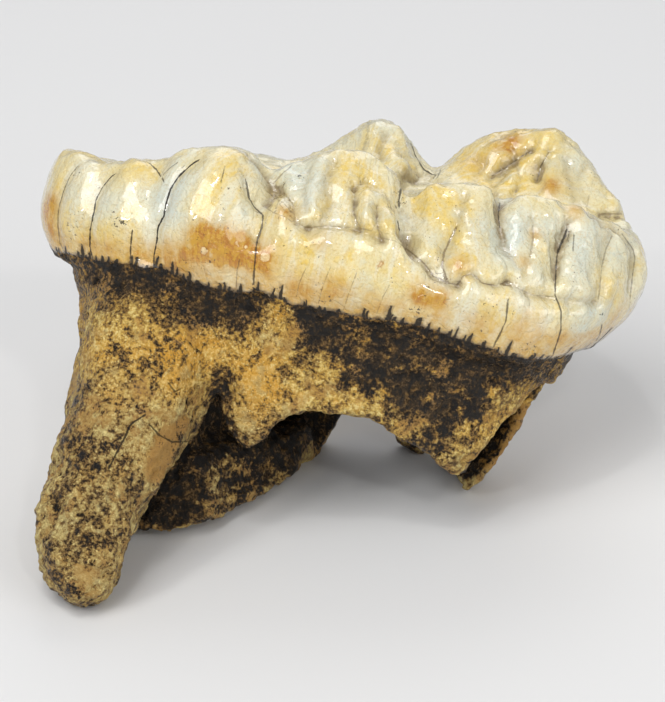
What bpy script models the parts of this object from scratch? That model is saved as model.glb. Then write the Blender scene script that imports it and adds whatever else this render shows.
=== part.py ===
"""A fossil cave bear cheek tooth (upper second molar), one natural solid.

The tooth lies as it rests by itself: crown up, leaning back on its long hind root and on the broken
walls of its other roots. It is modelled in the tooth's own frame: +X towards the front of the mouth,
+Y towards the cheek, +Z towards the biting surface, origin in the middle of the neck, in millimetres.
Then it is tilted into its resting pose in metres, cut flat where it touches the ground, and put with
its origin in the middle of its footprint, +Z up.
"""

import math

import bmesh
import bpy
import numpy as np
from mathutils import Matrix, noise

MM = 0.001
GROUND_SIZE = 0.2  # the cube that cuts the tooth off flat at the ground, in metres

# Driving dimensions, in millimetres
CROWN_LENGTH = 45.6
CROWN_MIDDLE_X = -0.6
HALF_WIDTH_TONGUE = 10.4
HALF_WIDTH_CHEEK = 10.3
WIDTH_GAIN = 0.05  # half width gained per millimetre towards the front
END_ROUNDNESS = 0.86  # power of the outline's cosines: 1 is an ellipse, less is squarer
CREST_INSET_HIND = 1.0  # how far in the crest stands at the hind end, and at the front end
CREST_INSET_FRONT = 1.9
CHEEK_NECK_RISE = 0.6
FLOOR_DROP = 13.63  # how far the ground is under the origin, measured in the resting pose

# The resting pose: nose down, then leaning back
NOSE_DOWN = math.radians(12.5)
LEAN_BACK = math.radians(27.0)

# How finely the parts are laid out
RING_POINTS = 144
WALL_ROWS = 15
BASIN_ROWS = 8
ROOT_RING_POINTS = 56
CROWN_VOXEL, CROWN_SMOOTHING = 0.36, 2
ROOT_VOXEL, ROOT_SMOOTHING = 0.38, 2
SKIN_VOXEL, SKIN_SMOOTHING = 0.36, 1
TRIANGLE_BUDGET = 8600
CORNER_SOFTNESS = 0.8  # how far along a line of (x, value) pairs its corners are rounded
STROKE_REACH = 1.6  # a stroke's whole reach, in its radii

# Heights along the crown: (x, z) pairs, back to front
TONGUE_CREST = [
    (-23, 8.3), (-21.4, 8.1), (-19.4, 7.8), (-16, 8.9), (-12.4, 10.4), (-9, 11.0), (-6.8, 10.0), (-5, 10.9),
    (-1.2, 13.0), (1.5, 12.2), (3.2, 10.6), (4.8, 11.7), (7, 12.2), (10, 11.9), (13, 12.3), (17, 12.0),
    (20, 11.0), (22, 10.0),
]
CHEEK_CREST = [
    (-23, 8.0), (-20, 7.8), (-16, 8.6), (-12, 9.6), (-8, 11.2), (-5.5, 11.2), (-3, 12.6), (-1.4, 14.8),
    (0.3, 16.0), (1.9, 15.3), (3.5, 13.9), (5.2, 12.7), (6.6, 14.6), (8, 16.1), (11, 17.4), (14.2, 17.6),
    (16.2, 16.2), (18.4, 13.9), (20.3, 11.9), (22, 10.2),
]
NECK_LINE = [
    (-23, 0.8), (-21, 0.5), (-14, 0.8), (-4, 0.7), (5, 1.0), (13, 0.5), (17, 0.9), (20.5, 2.2), (22.5, 2.8),
]
NECK_INSET = [(-23, 1.1), (15, 1.1), (19, 1.8), (22, 2.3)]  # how far in the neck stands under the girth
GIRTH_OVER_NECK = 1.6  # how far the girth stays above the neck at least
GIRTH_LINE = [(-23, 3.8), (-18, 3.5), (14, 3.5), (18, 4.8), (20, 6.6), (22.5, 8.3)]
BASIN_FLOOR = [(-23, 7.2), (-16, 7.7), (-8, 9.3), (0, 9.8), (5, 9.3), (13, 10.3), (20, 10.3), (22, 9.9)]
# How far in the crest stands, as a share of the half width
TONGUE_CREST_PLACE = [(-22, 0.74), (-10, 0.7), (-6, 0.56), (0, 0.47), (3, 0.54), (7, 0.62), (20, 0.64)]
CHEEK_CREST_PLACE = [(-22, 0.74), (-10, 0.7), (0, 0.62), (5, 0.66), (12, 0.6), (20, 0.64)]
# The ledge (cingulum) round the tongue side: how strong it is, 0 to 1, and the height of its top
TONGUE_LEDGE = [(-9, 0.0), (-6.4, 0.6), (2, 0.8), (6, 0.6), (18, 0.5), (21, 0.2)]
TONGUE_LEDGE_TOP = [(-9, 6.6), (1, 6.6), (4, 5.8), (8, 5.0), (16, 5.0), (20, 6.4), (22, 8.6)]
CHEEK_LEDGE = [(-18, 0.0), (-10, 0.4), (15, 0.5), (20, 0.5)]
CHEEK_LEDGE_TOP = [(-18, 5.0), (12, 5.6), (17, 7.0), (20, 8.4), (22, 9.2)]
# The rings from the underside to the girth: (share of the way up from the neck, share of the neck's
# inset that is left, how far in besides)
NECK_ROWS = [(-0.6, 1, 1.8), (-0.25, 1, 0.3), (0, 1, 0), (0.2, 0.62, 0), (0.5, 0.22, 0), (0.8, 0.04, 0)]
UNDERSIDE_Z = -1.2
# The wall from the girth (0) to the crest (1) where it has a ledge: its share of the way in, and up
LEDGE_WALL_IN = [(0, 0), (0.18, 0.03), (0.34, 0.16), (0.46, 0.34), (0.75, 0.7), (1, 1)]
LEDGE_WALL_FOOT = [(0, 0), (0.28, 1), (1, 1)]  # up to the ledge's top
LEDGE_WALL_UP = [(0.28, 0), (0.46, 0.1), (1, 1)]  # and from there on
PLAIN_WALL_POWER = 1.15
BASIN_END_INSET = 0.16

# Furrows and swellings worked into the crown: name: (points in the tooth frame, radius, depth), where
# a negative depth raises a ridge or a knob
CROWN_STROKES = {
    # tongue side, back to front
    "heel furrow a": ([(-16.2, -5, 9.5), (-15.8, -7, 7.8), (-15.5, -9.4, 5)], 1.0, 0.5),
    "heel furrow b": ([(-19.2, -4, 8.4), (-19.6, -6.5, 6), (-19, -8, 3)], 0.9, 0.4),
    "heel swelling": ([(-11, -8.6, 7), (-10.8, -9.6, 4.5)], 3.0, -0.6),
    "behind the middle cusp": ([(-6.9, -3, 10.2), (-6.9, -5.4, 9.8), (-7, -8, 8), (-7, -10, 5)], 1.1, 0.8),
    "middle cusp face": ([(-2.5, -6, 10.5), (-3.5, -7.4, 7.6)], 2.0, -0.4),
    "knob on the ledge a": ([(1.0, -8.2, 8.8), (0.9, -8.9, 7.6)], 1.2, -0.8),
    "knob on the ledge b": ([(2.5, -9.0, 7.6), (2.6, -9.5, 6.6)], 1.0, -0.7),
    "main cleft": ([(3.3, -2.5, 10.4), (3.3, -4.8, 10.6), (3.4, -6.8, 9.6), (3.8, -8.8, 7.4)], 1.0, 1.3),
    "cleft foot": ([(3.8, -8.8, 7.4), (5.2, -10.2, 6.0), (6.6, -10.8, 5.2)], 1.0, 0.5),
    "front cusp furrow a": ([(6.0, -6.4, 11.0), (6.2, -7.8, 8.5), (6.9, -9.2, 5.6)], 1.0, 0.5),
    "front cusp cleft": ([(10.2, -5.4, 11.6), (10.2, -7.0, 11.0), (10.3, -8.4, 8.4)], 1.0, 0.7),
    "front cusp furrow b": ([(12.4, -7.6, 10.2), (11.8, -9.0, 6.4)], 0.9, 0.45),
    "front cusp furrow c": ([(15.2, -7.0, 10.6), (14.6, -8.4, 8.0), (14.6, -9.6, 5.4)], 1.0, 0.8),
    "front cusp furrow d": ([(18.4, -6.2, 10.2), (17.9, -8.0, 7.6), (17.8, -9.0, 5.4)], 1.0, 0.6),
    "front ledge furrow": ([(20.9, -4.2, 9.4), (20.9, -5.8, 6.6), (19.8, -7.4, 3)], 1.0, 0.4),
    # cheek side
    "cheek cleft": ([(5.3, 7.4, 11.6), (5.3, 9.2, 9), (5.4, 10.8, 5)], 1.9, 1.3),
    "cheek furrow behind": ([(-6.4, 7, 10.4), (-6.6, 8.8, 8), (-6.8, 10.4, 5)], 1.6, 0.9),
    "heel furrow cheek a": ([(-12.6, 5.6, 9), (-12.6, 8, 7.6), (-12.8, 9.6, 4.4)], 1.2, 0.6),
    "heel furrow cheek b": ([(-17.2, 4.6, 8), (-17.6, 7, 6.6), (-17.4, 8.4, 4)], 1.1, 0.5),
    "front cusp cheek rib": ([(12.8, 7.6, 13), (13, 9.8, 7.6)], 2.4, -0.8),
    "hind cusp cheek rib": ([(0.2, 7.8, 12), (0.2, 9.8, 7)], 2.3, -0.8),
    "front end furrow": ([(19.6, 1.5, 11), (21.2, 1.2, 8.6), (21.6, 1, 5)], 1.2, 0.5),
    "front end knob": ([(18.9, 5.2, 12.4), (19.9, 5.6, 11)], 1.4, -0.7),
    # the biting surface
    "front cusp hollow": ([(8.6, 3.4, 12.6), (11, 3.2, 13.2), (13, 3.4, 13.8)], 1.4, 0.6),
    "front cusp inner rib": ([(13.6, 5, 15.6), (15.6, 2.8, 12.8), (16.4, 1, 11)], 1.6, -0.7),
    "hind cusp inner rib": ([(0.5, 5, 14), (1.6, 2.6, 11.6), (2, 1, 10)], 1.4, -0.7),
    "hind cusp hollow": ([(-1.6, 3.8, 12), (-1.2, 2.2, 10.4)], 1.2, 0.5),
    "valley": ([(-19, 0, 7.6), (-12, 0.4, 8.6), (-4, 0.8, 9.6), (6, 0.4, 9.4), (16, -0.4, 10.4)], 1.6, 0.6),
    "valley knob a": ([(-3.8, -1.8, 10.0), (-3.4, -1.2, 9.8)], 1.5, -0.7),
    "valley knob b": ([(8, -2, 10.4), (9.4, -1.6, 10.4)], 1.4, -0.7),
    "heel wrinkle a": ([(-9.5, -4.4, 10), (-10.4, 0, 9), (-9.4, 4.4, 9.8)], 1.1, -0.5),
    "heel wrinkle b": ([(-13, -4.6, 9), (-14, -0.4, 8.2), (-13.6, 4.2, 8.4)], 1.0, 0.45),
    "heel wrinkle c": ([(-17.4, -4, 8.2), (-17.6, 3.8, 7.8)], 0.9, 0.35),
}

# Root sections, top to bottom: (z, middle x, middle y, half length, half width)
TRUNK_ROUNDNESS = 0.76
HIND_ROOT_ROUNDNESS = 0.9
TRUNK_SECTIONS = [
    (1.5, -1.2, 0.2, 19.2, 9.0), (-1.5, -1.6, 0.2, 18.2, 8.7), (-4.0, -1.1, 0.5, 17.2, 8.6),
    (-7.0, 1.0, 0.9, 14.5, 8.9), (-9.5, 1.2, 1.3, 13.0, 8.8), (-12.0, 1.6, 2.0, 11.2, 8.4),
    (-16.0, 2.0, 2.4, 9.6, 8.2),
]
HIND_ROOT_SECTIONS = [
    (-1.0, -12.0, 0.2, 7.6, 8.2), (-6.0, -12.4, -0.2, 5.7, 8.2), (-10.0, -12.8, -0.8, 5.2, 8.2),
    (-14.0, -13.2, -1.8, 4.6, 7.4), (-18.0, -13.8, -4.4, 4.0, 5.6), (-21.0, -14.2, -7.8, 3.4, 3.4),
    (-23.6, -14.0, -9.8, 1.9, 2.4),
]
# The thick tongue-side column of the hind root: (x, y, z, radius)
COLUMN = [
    (-13.4, -3.4, 0.0, 4.8), (-13.0, -5.6, -6.0, 4.8), (-13.1, -7.0, -10.5, 4.6), (-13.8, -8.3, -14.0, 4.2),
    (-14.3, -9.7, -18.0, 3.7), (-14.1, -10.7, -21.0, 3.2), (-13.9, -11.1, -22.4, 2.7),
    (-13.8, -11.4, -23.4, 1.9), (-13.8, -11.5, -24.0, 0.9),
]
# The wing of the hind root, which runs from the column towards the cheek
WING_ROWS = [
    [(-12.0, -5.6, -15.0, 2.6), (-7.6, -0.8, -13.6, 2.4), (-3.8, 3.4, -11.6, 2.2), (-0.6, 7.4, -9.6, 2.0)],
    [(-12.4, -6.6, -18.2, 2.1), (-8.6, -3.4, -16.6, 1.9), (-5.0, 0.8, -14.8, 1.8), (-1.2, 5.6, -12.4, 1.8)],
]
# The hollow (pulp cavity) that the broken roots leave open below: its outline in plan near the top
# and far down, and its share of that outline at each height
HOLLOW_TOP = [
    (-7.6, -5.6), (-1, -6.7), (5, -6.7), (9.8, -5.9), (13.0, -4.4), (15.0, -1.8), (15.2, 1.4), (13.2, 4.8),
    (8.4, 7.6), (2.4, 8.0), (-1.6, 6.6), (-5.2, 2.8), (-7.2, -1.4),
]
HOLLOW_LOW = [
    (-9.5, -3.6), (-3, -3.4), (3, -3.2), (6, -2.8), (7.8, -1.8), (8.8, -0.2), (8.8, 2.0), (8.0, 5.0),
    (6.0, 8.0), (1.6, 8.6), (-1.6, 6.8), (-5.0, 2.4), (-9.0, -1.6),
]
HOLLOW_TOP_Z, HOLLOW_LOW_Z = -4.0, -20.0
HOLLOW_MIDDLE = (4.6, 0.8)
HOLLOW_SHARES = [
    (0.0, 0.4), (-1.0, 0.74), (-2.4, 0.92), (-4.0, 1.0), (-7.0, 1.06), (-9.5, 1.04), (-12.0, 1.0),
    (-20.0, 1.0), (-30.0, 1.0),
]
# The broken edges: an outline in the X-Z plane (what is inside it is gone) and its range of Y
TONGUE_WALL_EDGE = [
    (-8.4, -14.0), (-8.0, -11.0), (-7.9, -8.6), (-7.6, -7.0), (-7.2, -7.8), (-6.3, -9.7), (-5.5, -10.7),
    (-4.4, -11.0), (-3.3, -10.4), (-2.3, -9.0), (-1.4, -7.95), (-0.2, -7.35), (2.3, -7.0), (4.6, -7.1),
    (6.8, -7.95), (8.8, -8.65), (10.4, -9.6), (11.3, -10.1),
]
FRONT_CORNER_EDGE = [(11.9, -9.8), (12.5, -8.4), (13.3, -6.5), (14.4, -4.3), (16.4, -1.6)]
FRONT_WALL_EDGE = [
    (12.5, -10.9), (13.3, -10.4), (13.9, -9.3), (15.1, -7.3), (15.8, -5.2), (16.7, -1.6),
]
WING_EDGE = [
    (-10.6, -20.6), (-10.4, -19.2), (-6.6, -17.3), (-3.1, -15.9), (-1.4, -14.3), (1.2, -11.9), (1.9, -10.0),
    (2.5, -8.5), (3.2, -7.3), (4.2, -6.4), (5.6, -6.3), (7.0, -9.0), (8.8, -9.6), (9.7, -7.8),
    (10.4, -7.6), (11.2, -9.0), (12.0, -10.0), (12.7, -11.2),
]
BREAK_BOTTOM = -36.0
BREAK_FRONT = 26.0
BREAKS = {
    # name: (edge, whether all in front of the edge is gone too, range of Y)
    "tongue_wall": (TONGUE_WALL_EDGE + FRONT_CORNER_EDGE, True, (-24, -3.4)),
    "front_corner": (FRONT_CORNER_EDGE, True, (-24, 1.2)),
    "front_wall": (FRONT_WALL_EDGE, True, (-3.5, 24)),
    "wing": (WING_EDGE, False, (-3.5, 24)),
}

# Where the tooth touches the ground, in the resting pose: (x, y, radius), and the gap elsewhere
CONTACTS = [(-18.4, -18.4, 3.2), (10.6, -1.0, 2.8), (-1.2, 3.8, 3.0), (6.4, 3.6, 2.8), (-12.6, -1.6, 2.4)]
GROUND_GAP = 0.6
GAP_SLOPE = 2.5  # how far out from a contact the gap opens
LOW_SQUEEZE = 0.35  # how much of its height under twice the gap a low point keeps

# The worn, lumpy skin of the root: (size of the lumps, height of the lumps)
ROOT_LUMPS = [(5.0, 0.35), (1.9, 0.16)]


def interp(x, pairs):
    """The value at x on the smooth-cornered line through (x, value) pairs."""
    xs, values = zip(*pairs)
    shifts = (-CORNER_SOFTNESS, 0, CORNER_SOFTNESS)
    return sum(np.interp(x + shift, xs, values) for shift in shifts) / len(shifts)


def on_line(x, pairs):
    """The value at x on the straight line through (x, value) pairs."""
    return np.interp(x, *zip(*pairs))


def signed_power(value, power):
    return np.sign(value) * np.abs(value) ** power


def smooth_step(value):
    value = np.clip(value, 0, 1)
    return value * value * (3 - 2 * value)


def link(name, mesh, collection):
    """A new object of this mesh in the collection."""
    made = bpy.data.objects.new(name, mesh)
    collection.objects.link(made)
    return made


def ring_mesh(name, rings):
    """A closed mesh from rings of the same number of points: sides, and a fan on each end ring."""
    bm = bmesh.new()
    rows = [[bm.verts.new(point) for point in ring] for ring in rings]
    count = len(rows[0])
    for low, high in zip(rows, rows[1:]):
        for i in range(count):
            j = (i + 1) % count
            bm.faces.new((low[i], low[j], high[j], high[i]))
    for row in (rows[0], rows[-1]):
        middle = bm.verts.new(sum((v.co for v in row), row[0].co * 0) / count)
        for i in range(count):
            bm.faces.new((row[i], row[(i + 1) % count], middle))
    bmesh.ops.recalc_face_normals(bm, faces=bm.faces)
    mesh = bpy.data.meshes.new(name)
    bm.to_mesh(mesh)
    bm.free()
    return mesh


def crown_sides(angle):
    """The crown's outline at its girth and its crest, as arrays of x, y and (for the crest) z."""
    c, s = np.cos(angle), np.sin(angle)
    half = CROWN_LENGTH / 2
    girth_x = CROWN_MIDDLE_X + half * signed_power(c, END_ROUNDNESS)
    cheek = smooth_step(0.5 + 2.5 * s)  # 0 on the tongue side, 1 on the cheek side
    half_width = np.where(s < 0, HALF_WIDTH_TONGUE, HALF_WIDTH_CHEEK) + WIDTH_GAIN * girth_x
    girth_y = half_width * signed_power(s, END_ROUNDNESS)
    crest_half = half - np.where(c < 0, CREST_INSET_HIND, CREST_INSET_FRONT)
    crest_x = CROWN_MIDDLE_X + crest_half * signed_power(c, END_ROUNDNESS)
    place = np.where(s < 0, interp(crest_x, TONGUE_CREST_PLACE), interp(crest_x, CHEEK_CREST_PLACE))
    crest_y = girth_y * place
    crest_z = (1 - cheek) * interp(crest_x, TONGUE_CREST) + cheek * interp(crest_x, CHEEK_CREST)
    return (girth_x, girth_y), (crest_x, crest_y, crest_z), cheek


def crown_rings():
    """The crown's rings from its underside, up the wall, over the crest and into the basin."""
    angle = np.linspace(0, 2 * math.pi, RING_POINTS, endpoint=False)
    (gx, gy), (kx, ky, kz), cheek = crown_sides(angle)
    ledge = (1 - cheek) * interp(gx, TONGUE_LEDGE) + cheek * interp(gx, CHEEK_LEDGE)
    ledge_top = (1 - cheek) * interp(gx, TONGUE_LEDGE_TOP) + cheek * interp(gx, CHEEK_LEDGE_TOP)
    neck = interp(gx, NECK_LINE) + CHEEK_NECK_RISE * cheek
    inset = interp(gx, NECK_INSET)
    girth = np.maximum(interp(gx, GIRTH_LINE), neck + GIRTH_OVER_NECK)
    length = np.hypot(gx - CROWN_MIDDLE_X, gy)

    rings = []
    for up, left, besides in NECK_ROWS:
        share = 1 - (inset * left + besides) / length
        z = neck + (2 * up if up < 0 else up * (girth - neck))
        rings.append(np.stack([CROWN_MIDDLE_X + (gx - CROWN_MIDDLE_X) * share, gy * share, z], 1))
    rise = kz - girth
    for row in range(WALL_ROWS + 1):
        v = row / WALL_ROWS
        plain_in = 1 - math.cos(v * math.pi / 2) ** PLAIN_WALL_POWER
        plain_up = math.sin(v * math.pi / 2)
        # with a ledge, the wall goes up to the ledge's top, steps in over it and goes on up
        step_up = (ledge_top - girth) / rise * on_line(v, LEDGE_WALL_FOOT)
        ledge_up = step_up + (1 - step_up) * on_line(v, LEDGE_WALL_UP)
        across = (1 - ledge) * plain_in + ledge * on_line(v, LEDGE_WALL_IN)
        up = (1 - ledge) * plain_up + ledge * ledge_up
        rings.append(np.stack([gx + (kx - gx) * across, gy + (ky - gy) * across, girth + rise * up], 1))
    floor_z = interp(kx, BASIN_FLOOR)
    for row in range(1, BASIN_ROWS + 1):
        v = row / (BASIN_ROWS + 0.6)  # the last ring stops short of the middle line
        drop = (smooth_step(v) + v) / 2
        rings.append(np.stack([kx * (1 - BASIN_END_INSET * v), ky * (1 - v), kz + (floor_z - kz) * drop], 1))
    return rings


def crown_mesh():
    """The crown as a closed mesh: rings, closed under the neck by a fan and in the basin by a strip."""
    bm = bmesh.new()
    rows = [[bm.verts.new(point) for point in ring] for ring in crown_rings()]
    for low, high in zip(rows, rows[1:]):
        for i in range(RING_POINTS):
            j = (i + 1) % RING_POINTS
            bm.faces.new((low[i], low[j], high[j], high[i]))
    inner = rows[-1]
    for i in range(RING_POINTS // 2):
        across = [inner[i], inner[i + 1], inner[-(i + 1) % RING_POINTS], inner[-i % RING_POINTS]]
        bm.faces.new(list(dict.fromkeys(across)))
    under = bm.verts.new((CROWN_MIDDLE_X, 0, UNDERSIDE_Z))
    for i in range(RING_POINTS):
        bm.faces.new((rows[0][i], rows[0][(i + 1) % RING_POINTS], under))
    bmesh.ops.recalc_face_normals(bm, faces=bm.faces)
    mesh = bpy.data.meshes.new("crown")
    bm.to_mesh(mesh)
    bm.free()
    return mesh


def distance_to_path(points, path):
    """Each point's distance to a line through the path's points."""
    nearest = np.full(len(points), np.inf)
    for start, end in zip(path, path[1:]):
        start, end = np.array(start, float), np.array(end, float)
        along = end - start
        share = np.clip((points - start) @ along / (along @ along), 0, 1)
        nearest = np.minimum(nearest, np.linalg.norm(points - (start + share[:, None] * along), axis=1))
    return nearest


def sculpt(mesh, strokes):
    """Presses each furrow into the mesh along its normals, or raises it where its depth is negative."""
    count = len(mesh.vertices)
    for path, radius, depth in strokes.values():
        points, normals = np.empty(count * 3), np.empty(count * 3)
        mesh.vertices.foreach_get("co", points)
        mesh.vertex_normals.foreach_get("vector", normals)
        points, normals = points.reshape(-1, 3), normals.reshape(-1, 3)
        reach = np.clip(1 - (distance_to_path(points, path) / (STROKE_REACH * radius)) ** 2, 0, 1) ** 2
        points = points - normals * (depth * reach)[:, None]
        mesh.vertices.foreach_set("co", points.ravel())
        mesh.update()


def section_rings(sections, roundness):
    """Rings of a loft through sections (z, middle x, middle y, half length, half width)."""
    angle = np.linspace(0, 2 * math.pi, ROOT_RING_POINTS, endpoint=False)
    c, s = signed_power(np.cos(angle), roundness), signed_power(np.sin(angle), roundness)
    heights = [section[0] for section in sections]
    levels = np.linspace(heights[0], heights[-1], 2 * len(sections) + 1)[::-1]
    order = np.argsort(heights)
    values = np.array(sections)[order]
    rings = []
    for z in levels:
        mx, my, hx, hy = (np.interp(z, values[:, 0], values[:, k]) for k in range(1, 5))
        rings.append(np.stack([mx + hx * c, my + hy * s, np.full_like(c, z)], 1))
    return rings


def rounded(outline):
    """The closed outline with its corners cut twice, which makes it round."""
    points = np.array(outline, float)
    for _ in range(2):
        following = np.roll(points, -1, axis=0)
        pairs = [0.75 * points + 0.25 * following, 0.25 * points + 0.75 * following]
        points = np.stack(pairs, 1).reshape(-1, 2)
    return points


def hollow_rings():
    """Rings of the hollow, from its roof down through the open underside."""
    top, low, middle = rounded(HOLLOW_TOP), rounded(HOLLOW_LOW), np.array(HOLLOW_MIDDLE)
    rings = []
    for z, share in HOLLOW_SHARES:
        blend = np.clip((HOLLOW_TOP_Z - z) / (HOLLOW_TOP_Z - HOLLOW_LOW_Z), 0, 1)
        plan = middle + (top + (low - top) * blend - middle) * share
        rings.append(np.column_stack([plan, np.full(len(plan), z)]))
    return rings


def rod(name, path, collection):
    """A round rod through (x, y, z, radius) points, as a closed mesh object."""
    curve = bpy.data.curves.new(name, "CURVE")
    curve.dimensions = "3D"
    curve.bevel_depth = 1.0
    curve.bevel_resolution = 4
    curve.use_fill_caps = True
    curve.resolution_u = 6
    spline = curve.splines.new("BEZIER")
    spline.bezier_points.add(len(path) - 1)
    for point, (x, y, z, radius) in zip(spline.bezier_points, path):
        point.co = (x, y, z)
        point.radius = radius
        point.handle_left_type = point.handle_right_type = "AUTO"
    drawn = link(name + "_line", curve, collection)
    bpy.context.view_layer.update()
    mesh = bpy.data.meshes.new_from_object(drawn.evaluated_get(bpy.context.evaluated_depsgraph_get()))
    bpy.data.objects.remove(drawn)
    bm = bmesh.new()
    bm.from_mesh(mesh)
    bmesh.ops.remove_doubles(bm, verts=bm.verts, dist=0.001)
    bmesh.ops.recalc_face_normals(bm, faces=bm.faces)
    bm.to_mesh(mesh)
    bm.free()
    mesh.name = name
    return link(name, mesh, collection)


def break_outline(edge, all_in_front):
    """The closed outline of all that is under a broken edge, and in front of it too if told so."""
    last = edge[-1]
    corners = [(last[0], BREAK_BOTTOM)]
    if all_in_front:
        corners = [(BREAK_FRONT, last[1]), (BREAK_FRONT, BREAK_BOTTOM)]
    return edge + corners + [(edge[0][0], BREAK_BOTTOM)]


def slab(name, outline, y_range, collection):
    """An outline in the X-Z plane, drawn through a range of Y: the cutter of one broken edge."""
    bm = bmesh.new()
    near = [bm.verts.new((x, y_range[0], z)) for x, z in outline]
    far = [bm.verts.new((x, y_range[1], z)) for x, z in outline]
    bm.faces.new(near)
    bm.faces.new(far)
    for i in range(len(outline)):
        j = (i + 1) % len(outline)
        bm.faces.new((near[i], near[j], far[j], far[i]))
    bmesh.ops.recalc_face_normals(bm, faces=bm.faces)
    mesh = bpy.data.meshes.new(name)
    bm.to_mesh(mesh)
    bm.free()
    return link(name, mesh, collection)


def bake(obj):
    """Replaces the object's mesh by what its modifiers make of it."""
    bpy.context.view_layer.update()
    evaluated = obj.evaluated_get(bpy.context.evaluated_depsgraph_get())
    mesh = bpy.data.meshes.new_from_object(evaluated)
    obj.modifiers.clear()
    obj.data = mesh


def join_or_cut(obj, other, operation):
    """Adds one Boolean to the object and applies it. The other object stays as a hidden helper."""
    step = obj.modifiers.new(operation.lower() + "_" + other.name, "BOOLEAN")
    step.operation = operation
    step.object = other
    bake(obj)


def fuse(obj, voxel, smoothing):
    """Makes one smooth skin of what overlaps in the object."""
    remesh = obj.modifiers.new("fuse", "REMESH")
    remesh.mode = "VOXEL"
    remesh.voxel_size = voxel
    smooth = obj.modifiers.new("soften", "SMOOTH")
    smooth.factor = 0.5
    smooth.iterations = smoothing
    bake(obj)


def thin_out(obj, triangles):
    """Keeps about this many triangles."""
    obj.data.calc_loop_triangles()
    share = triangles / len(obj.data.loop_triangles)
    if share < 1:
        fewer = obj.modifiers.new("thin_out", "DECIMATE")
        fewer.ratio = share
        fewer.use_collapse_triangulate = True
        bake(obj)


def root_object(helpers):
    """The root: trunk, hind root and its column, hollowed and broken off below."""
    root = link("root", ring_mesh("root", section_rings(TRUNK_SECTIONS, TRUNK_ROUNDNESS)), helpers)
    hind_rings = section_rings(HIND_ROOT_SECTIONS, HIND_ROOT_ROUNDNESS)
    hind = link("hind_root", ring_mesh("hind_root", hind_rings), helpers)
    hollow = link("hollow", ring_mesh("hollow", hollow_rings()), helpers)
    column = rod("column", COLUMN, helpers)
    join_or_cut(root, hind, "UNION")
    join_or_cut(root, hollow, "DIFFERENCE")
    for number, row in enumerate(WING_ROWS):
        join_or_cut(root, rod("wing_%d" % number, row, helpers), "UNION")
    for name, (edge, all_in_front, y_range) in BREAKS.items():
        gone = slab(name, break_outline(edge, all_in_front), y_range, helpers)
        join_or_cut(root, gone, "DIFFERENCE")
    join_or_cut(root, column, "UNION")
    fuse(root, ROOT_VOXEL, ROOT_SMOOTHING)
    roughen(root.data)
    return root


def roughen(mesh):
    """Raises lumps on the mesh along its normals."""
    moves = []
    for vertex in mesh.vertices:
        height = sum(tall * noise.noise(vertex.co / size) for size, tall in ROOT_LUMPS)
        moves.append(vertex.co + vertex.normal * height)
    for vertex, place in zip(mesh.vertices, moves):
        vertex.co = place
    mesh.update()


def fossil_material():
    """Old enamel and mineralised root in one finish: a warm, worn ivory brown."""
    material = bpy.data.materials.new("fossil_tooth")
    material.use_nodes = True
    shader = material.node_tree.nodes["Principled BSDF"]
    shader.inputs["Base Color"].default_value = (0.55, 0.42, 0.22, 1)
    shader.inputs["Roughness"].default_value = 0.4
    shader.inputs["Metallic"].default_value = 0.0
    return material


def clear_ground(mesh):
    """Lifts the underside a little off the ground everywhere but round the places that touch it."""
    count = len(mesh.vertices)
    points = np.empty(count * 3)
    mesh.vertices.foreach_get("co", points)
    points = points.reshape(-1, 3)
    nearest = np.full(count, np.inf)
    for x, y, radius in CONTACTS:
        away = np.hypot(points[:, 0] / MM - x, points[:, 1] / MM - y)
        nearest = np.minimum(nearest, away - radius)
    gap = GROUND_GAP * MM * smooth_step(nearest / GAP_SLOPE)
    # what is lower than twice the gap is squeezed up into it
    low = points[:, 2] < 2 * gap
    points[low, 2] = (2 * gap + LOW_SQUEEZE * (points[:, 2] - 2 * gap))[low]
    mesh.vertices.foreach_set("co", points.ravel())
    mesh.update()


def rest_on_ground(tooth, helpers):
    """Tilts the tooth into its resting pose in metres, cuts it flat at the ground and centres it."""
    pose = Matrix.Rotation(-LEAN_BACK, 4, "X") @ Matrix.Rotation(NOSE_DOWN, 4, "Y")
    tooth.data.transform(Matrix.Translation((0, 0, FLOOR_DROP * MM)) @ Matrix.Scale(MM, 4) @ pose)
    clear_ground(tooth.data)
    bpy.ops.mesh.primitive_cube_add(size=GROUND_SIZE, location=(0, 0, -GROUND_SIZE / 2))
    ground = bpy.context.object
    ground.name = "ground"
    for collection in ground.users_collection:
        collection.objects.unlink(ground)
    helpers.objects.link(ground)
    join_or_cut(tooth, ground, "DIFFERENCE")
    points = np.array([v.co for v in tooth.data.vertices])
    middle = (points.min(axis=0) + points.max(axis=0)) / 2
    tooth.data.transform(Matrix.Translation((-middle[0], -middle[1], 0)))


def main():
    for obj in list(bpy.data.objects):
        bpy.data.objects.remove(obj)
    parts = bpy.data.collections.new("cave_bear_tooth")
    helpers = bpy.data.collections.new("helpers")
    bpy.context.scene.collection.children.link(parts)
    bpy.context.scene.collection.children.link(helpers)

    tooth = link("cave_bear_tooth", crown_mesh(), parts)
    fuse(tooth, CROWN_VOXEL, CROWN_SMOOTHING)
    sculpt(tooth.data, CROWN_STROKES)
    join_or_cut(tooth, root_object(helpers), "UNION")
    fuse(tooth, SKIN_VOXEL, SKIN_SMOOTHING)
    thin_out(tooth, TRIANGLE_BUDGET)
    rest_on_ground(tooth, helpers)
    tooth.data.materials.clear()
    tooth.data.materials.append(fossil_material())
    tooth.data.shade_smooth()
    for helper in helpers.objects:
        helper.hide_render = True
        helper.display_type = "WIRE"


main()
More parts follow.
